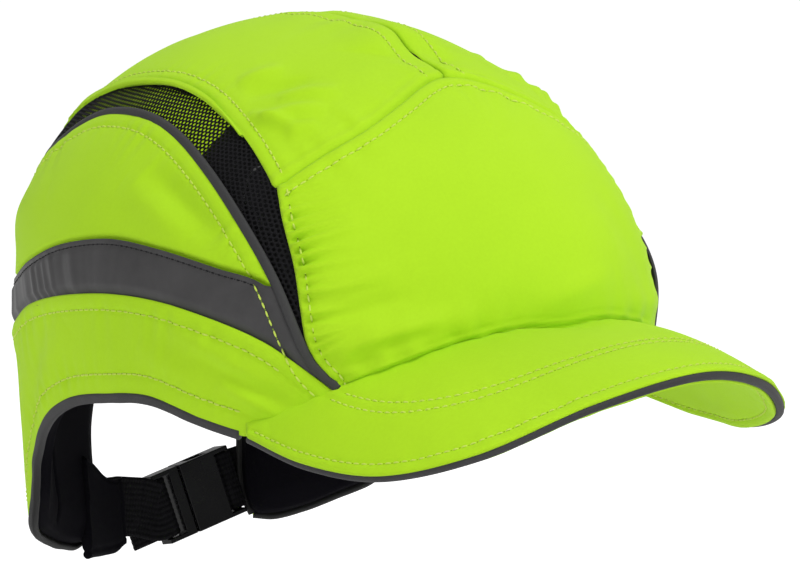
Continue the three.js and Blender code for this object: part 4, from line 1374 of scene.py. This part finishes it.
def ring(middle, a, b):
    return [middle + a * math.cos(turn) + b * math.sin(turn) for turn in RING]


def stitches(name, rows, materials, slot):
    """Thread that rises between needle holes: one small tube a stitch, and one small dark nub at
    its hole, whose dark colour is painted shade.
    """
    points, faces, slots = [], [], []
    for ends, radius, share in rows:
        (a, _), (b, out), (c, _) = ends
        a, c = b + (a - b) * share, b + (c - b) * share
        length = np.linalg.norm(c - a)
        if length < 0.4:
            continue
        forward = (c - a) / length
        across = unit(np.cross(forward, out))
        out = np.cross(across, forward)
        faces += tube_faces(len(THREAD_RINGS), len(RING), len(points))
        for t in THREAD_RINGS:
            arch = math.sin(math.pi * t)
            thick = radius * (0.55 + 0.45 * arch ** 0.5)
            points += ring(a + (c - a) * t + out * (radius * (1.2 * arch - 0.55)),
                           across * thick, out * thick)
        slots += [0] * (len(faces) - len(slots))
        # the hole: a small nub in the second material, painted shade
        faces += tube_faces(len(HOLE_RINGS), len(RING), len(points))
        hole = c + forward * (length * (1 - share) / share / 2)
        for height, wide in HOLE_RINGS:
            points += ring(hole + out * height, across * wide * 0.9, forward * wide)
        slots += [1] * (len(faces) - len(slots))
    piece = make_object(name, points, faces, look[materials[0]])
    piece.data.materials.append(look[materials[1]])
    piece.data.polygons.foreach_set("material_index", slots)
    tidy_normals(piece)
    return finish_piece(piece, "cap", slot)


def radial_rows(tree, curves, side, sewn):
    """Rows of stitches along curves on the dome, on one side of the cap."""
    rows = []
    for curve in curves:
        line = on_dome(curve * (side, 1, 1))
        rows += stitch_row(tree, line, unit(line), *sewn)
    return rows


def all_stitches(panels):
    azimuth = azimuth_round(PIPING)
    below_piping = shifted(PIPING, ROW["piping"])
    over_strip = below_piping[(azimuth > -181) & (azimuth < -46)]
    beside_strip = below_piping[(azimuth >= -46) & (azimuth < -39.5)]
    curves = [
        shifted(part_of(FRONT_LINE, -90, 0, 120), ROW["front"]),
        shifted(SIDE_LINE, ROW["side"])[2:-6],
        shifted(VENT_UPPER, -ROW["vent"])[VENT_CORNER + 2:-6],
        shifted(CENTRE, ROW["centre"]),
        over_strip,
        shifted(STRIP_LOWER, ROW["strip_foot"])[22:],
        shifted(REAR_CENTRE, ROW["rear"]),
    ]
    ear = shifted(EAR_EDGE, -ROW["ear"])[:-14]
    strip_top = shifted(STRIP_UPPER, ROW["strip_top"])[24:]
    for side_name, side in SIDES.items():
        names = [f"{part}_{side_name}" for part in ("crown_panel", "upper_side_panel",
                                                    "reflective_strip", "lower_side_panel")]
        tree = surface_tree([panels[name] for name in ("front_panel", *names)])
        rows = radial_rows(tree, curves, side, SEWN)
        rows += radial_rows(tree, [ear], side, SEWN_ARCH)
        rows += radial_rows(tree, [beside_strip], side, SEWN)
        stitches(f"cap_stitches_{side_name}", rows, ("thread", "hole_shade"), "hi_vis_fabric")
        stitches(f"strip_stitches_{side_name}", radial_rows(tree, [strip_top], side, SEWN_STRIP),
                 ("dark_thread", "dark_thread"), "reflective_tape")
    peak_stitches(panels["peak_top"], 1, "peak_top_stitches")
    peak_stitches(panels["peak_under"], -1, "peak_under_stitches")


def peak_stitches(cover, facing, name):
    """The double arc across the peak and the row inside its edge."""
    tree = surface_tree([cover])
    lines = []
    for arc in STITCH_ARCS:
        u, v = arc_line(*arc, 500)
        seen = v > 2.4 / peak_width(u)
        lines.append((u[seen], v[seen]))
    edge_u = np.linspace(0.02, 0.98, 500)
    lines.append((edge_u, 1 - EDGE_ROW / peak_width(edge_u)))
    rows = []
    for u, v in lines:
        line = peak_top(u, v)
        rows += stitch_row(tree, line, peak_normal(u, v) * facing, *SEWN_PEAK)
    stitches(name, rows, ("thread", "hole_shade"), "hi_vis_fabric")


# ---- Scene ---------------------------------------------------------------------------------
FLOOR_HEIGHT = -0.36
CAMERA = {"place": (-0.82022, -0.99484, 0.16424), "turn": (82.6, 0, -40.5), "lens": 183.8}


def area_light(name, place, size, power):
    """A square lamp that looks at the cap."""
    light = bpy.data.lights.new(name, "AREA")
    light.shape = "RECTANGLE"
    light.size = light.size_y = size
    light.energy = power
    lamp = add_object(name, light)
    lamp.location = place
    lamp.rotation_euler = (-Vector(place)).to_track_quat("-Z", "Y").to_euler()


def studio():
    scene = bpy.context.scene
    scene.view_settings.view_transform = "Standard"
    camera = add_object("camera", bpy.data.cameras.new("camera"))
    camera.data.lens = CAMERA["lens"]
    camera.data.sensor_width = 36
    camera.data.clip_start, camera.data.clip_end = 0.05, 60
    camera.location = CAMERA["place"]
    camera.rotation_euler = [math.radians(a) for a in CAMERA["turn"]]
    scene.camera = camera
    world = bpy.data.worlds.new("pale studio")
    world.use_nodes = True
    world.node_tree.nodes["Background"].inputs["Color"].default_value = (1, 1, 1, 1)
    world.node_tree.nodes["Background"].inputs["Strength"].default_value = 0.44
    scene.world = world
    area_light("key", (0.2, -1.3, 1.9), 0.7, 31)
    area_light("fill", (-1.9, -0.5, 0.7), 1.2, 5)
    area_light("rim", (0.6, 1.2, 1.5), 0.9, 4)
    # The floor glows: it whitens the background and lights the cap from below, and its glow is
    # dimmed within about 0.7 m of the spot under the cap so that it lights the cap less.
    pale = Surface("glowing_pale_floor", 0.9, Emission_Strength=1.0)
    from_cap = pale.add("VectorMath", "LENGTH", Vector=pale.where).outputs["Value"]
    pale.color(pale.math("MULTIPLY", from_cap, 0.25),
               [(0.7 / 4, (0.05,) * 3), (1.5 / 4, (0.62,) * 3)], "Emission Color")
    pale.color(pale.noise(3), [(0.0, (0.93,) * 3), (1.0, (0.96,) * 3)])
    mesh = bmesh.new()
    bmesh.ops.create_grid(mesh, x_segments=8, y_segments=8, size=30)
    data = bpy.data.meshes.new("floor")
    mesh.to_mesh(data)
    mesh.free()
    data.materials.append(pale.material)
    floor = add_object("floor", data)
    floor.location.z = FLOOR_HEIGHT


def build():
    studio()
    panels = {"front_panel": front_panel()}
    for name, side in SIDES.items():
        for make in (crown_panel, upper_side_panel, reflective_strip, lower_side_panel):
            node = f"{make.__name__}_{name}"
            panels[node] = make(node, side)
        vent_mesh(f"vent_mesh_{name}", side)
        vent_lining(f"vent_lining_{name}", side)
        vent_piping(f"vent_piping_{name}", side)
        binding(f"ear_arch_binding_{name}", EAR_EDGE, side, seed=side)
        nape_pad(f"lobe_lining_{name}", side)
    binding("rear_arch_binding", REAR_EDGE, seed=3)
    crown_tape()
    hard_shell()
    pads()
    sweatband()
    panels.update(peak_covers())
    peak_layer("peak_stiffener", "peak_board", "peak_board", "board",
               peak_grid(3.5, 4.0, 0.07, 120, 30), *PEAK_BOARD)
    peak_piping()
    strap_tab()
    elastic()
    elastic_tail()
    webbing()
    moulded("socket_half", "cap", "buckle_socket")
    moulded("plug_half", "plug", "buckle_plug")
    moulded("prong_top", "prong_upper", "buckle_prong_upper", 0.3)
    moulded("prong_bottom", "prong_lower", "buckle_prong_lower", 0.3)
    all_stitches(panels)


build()
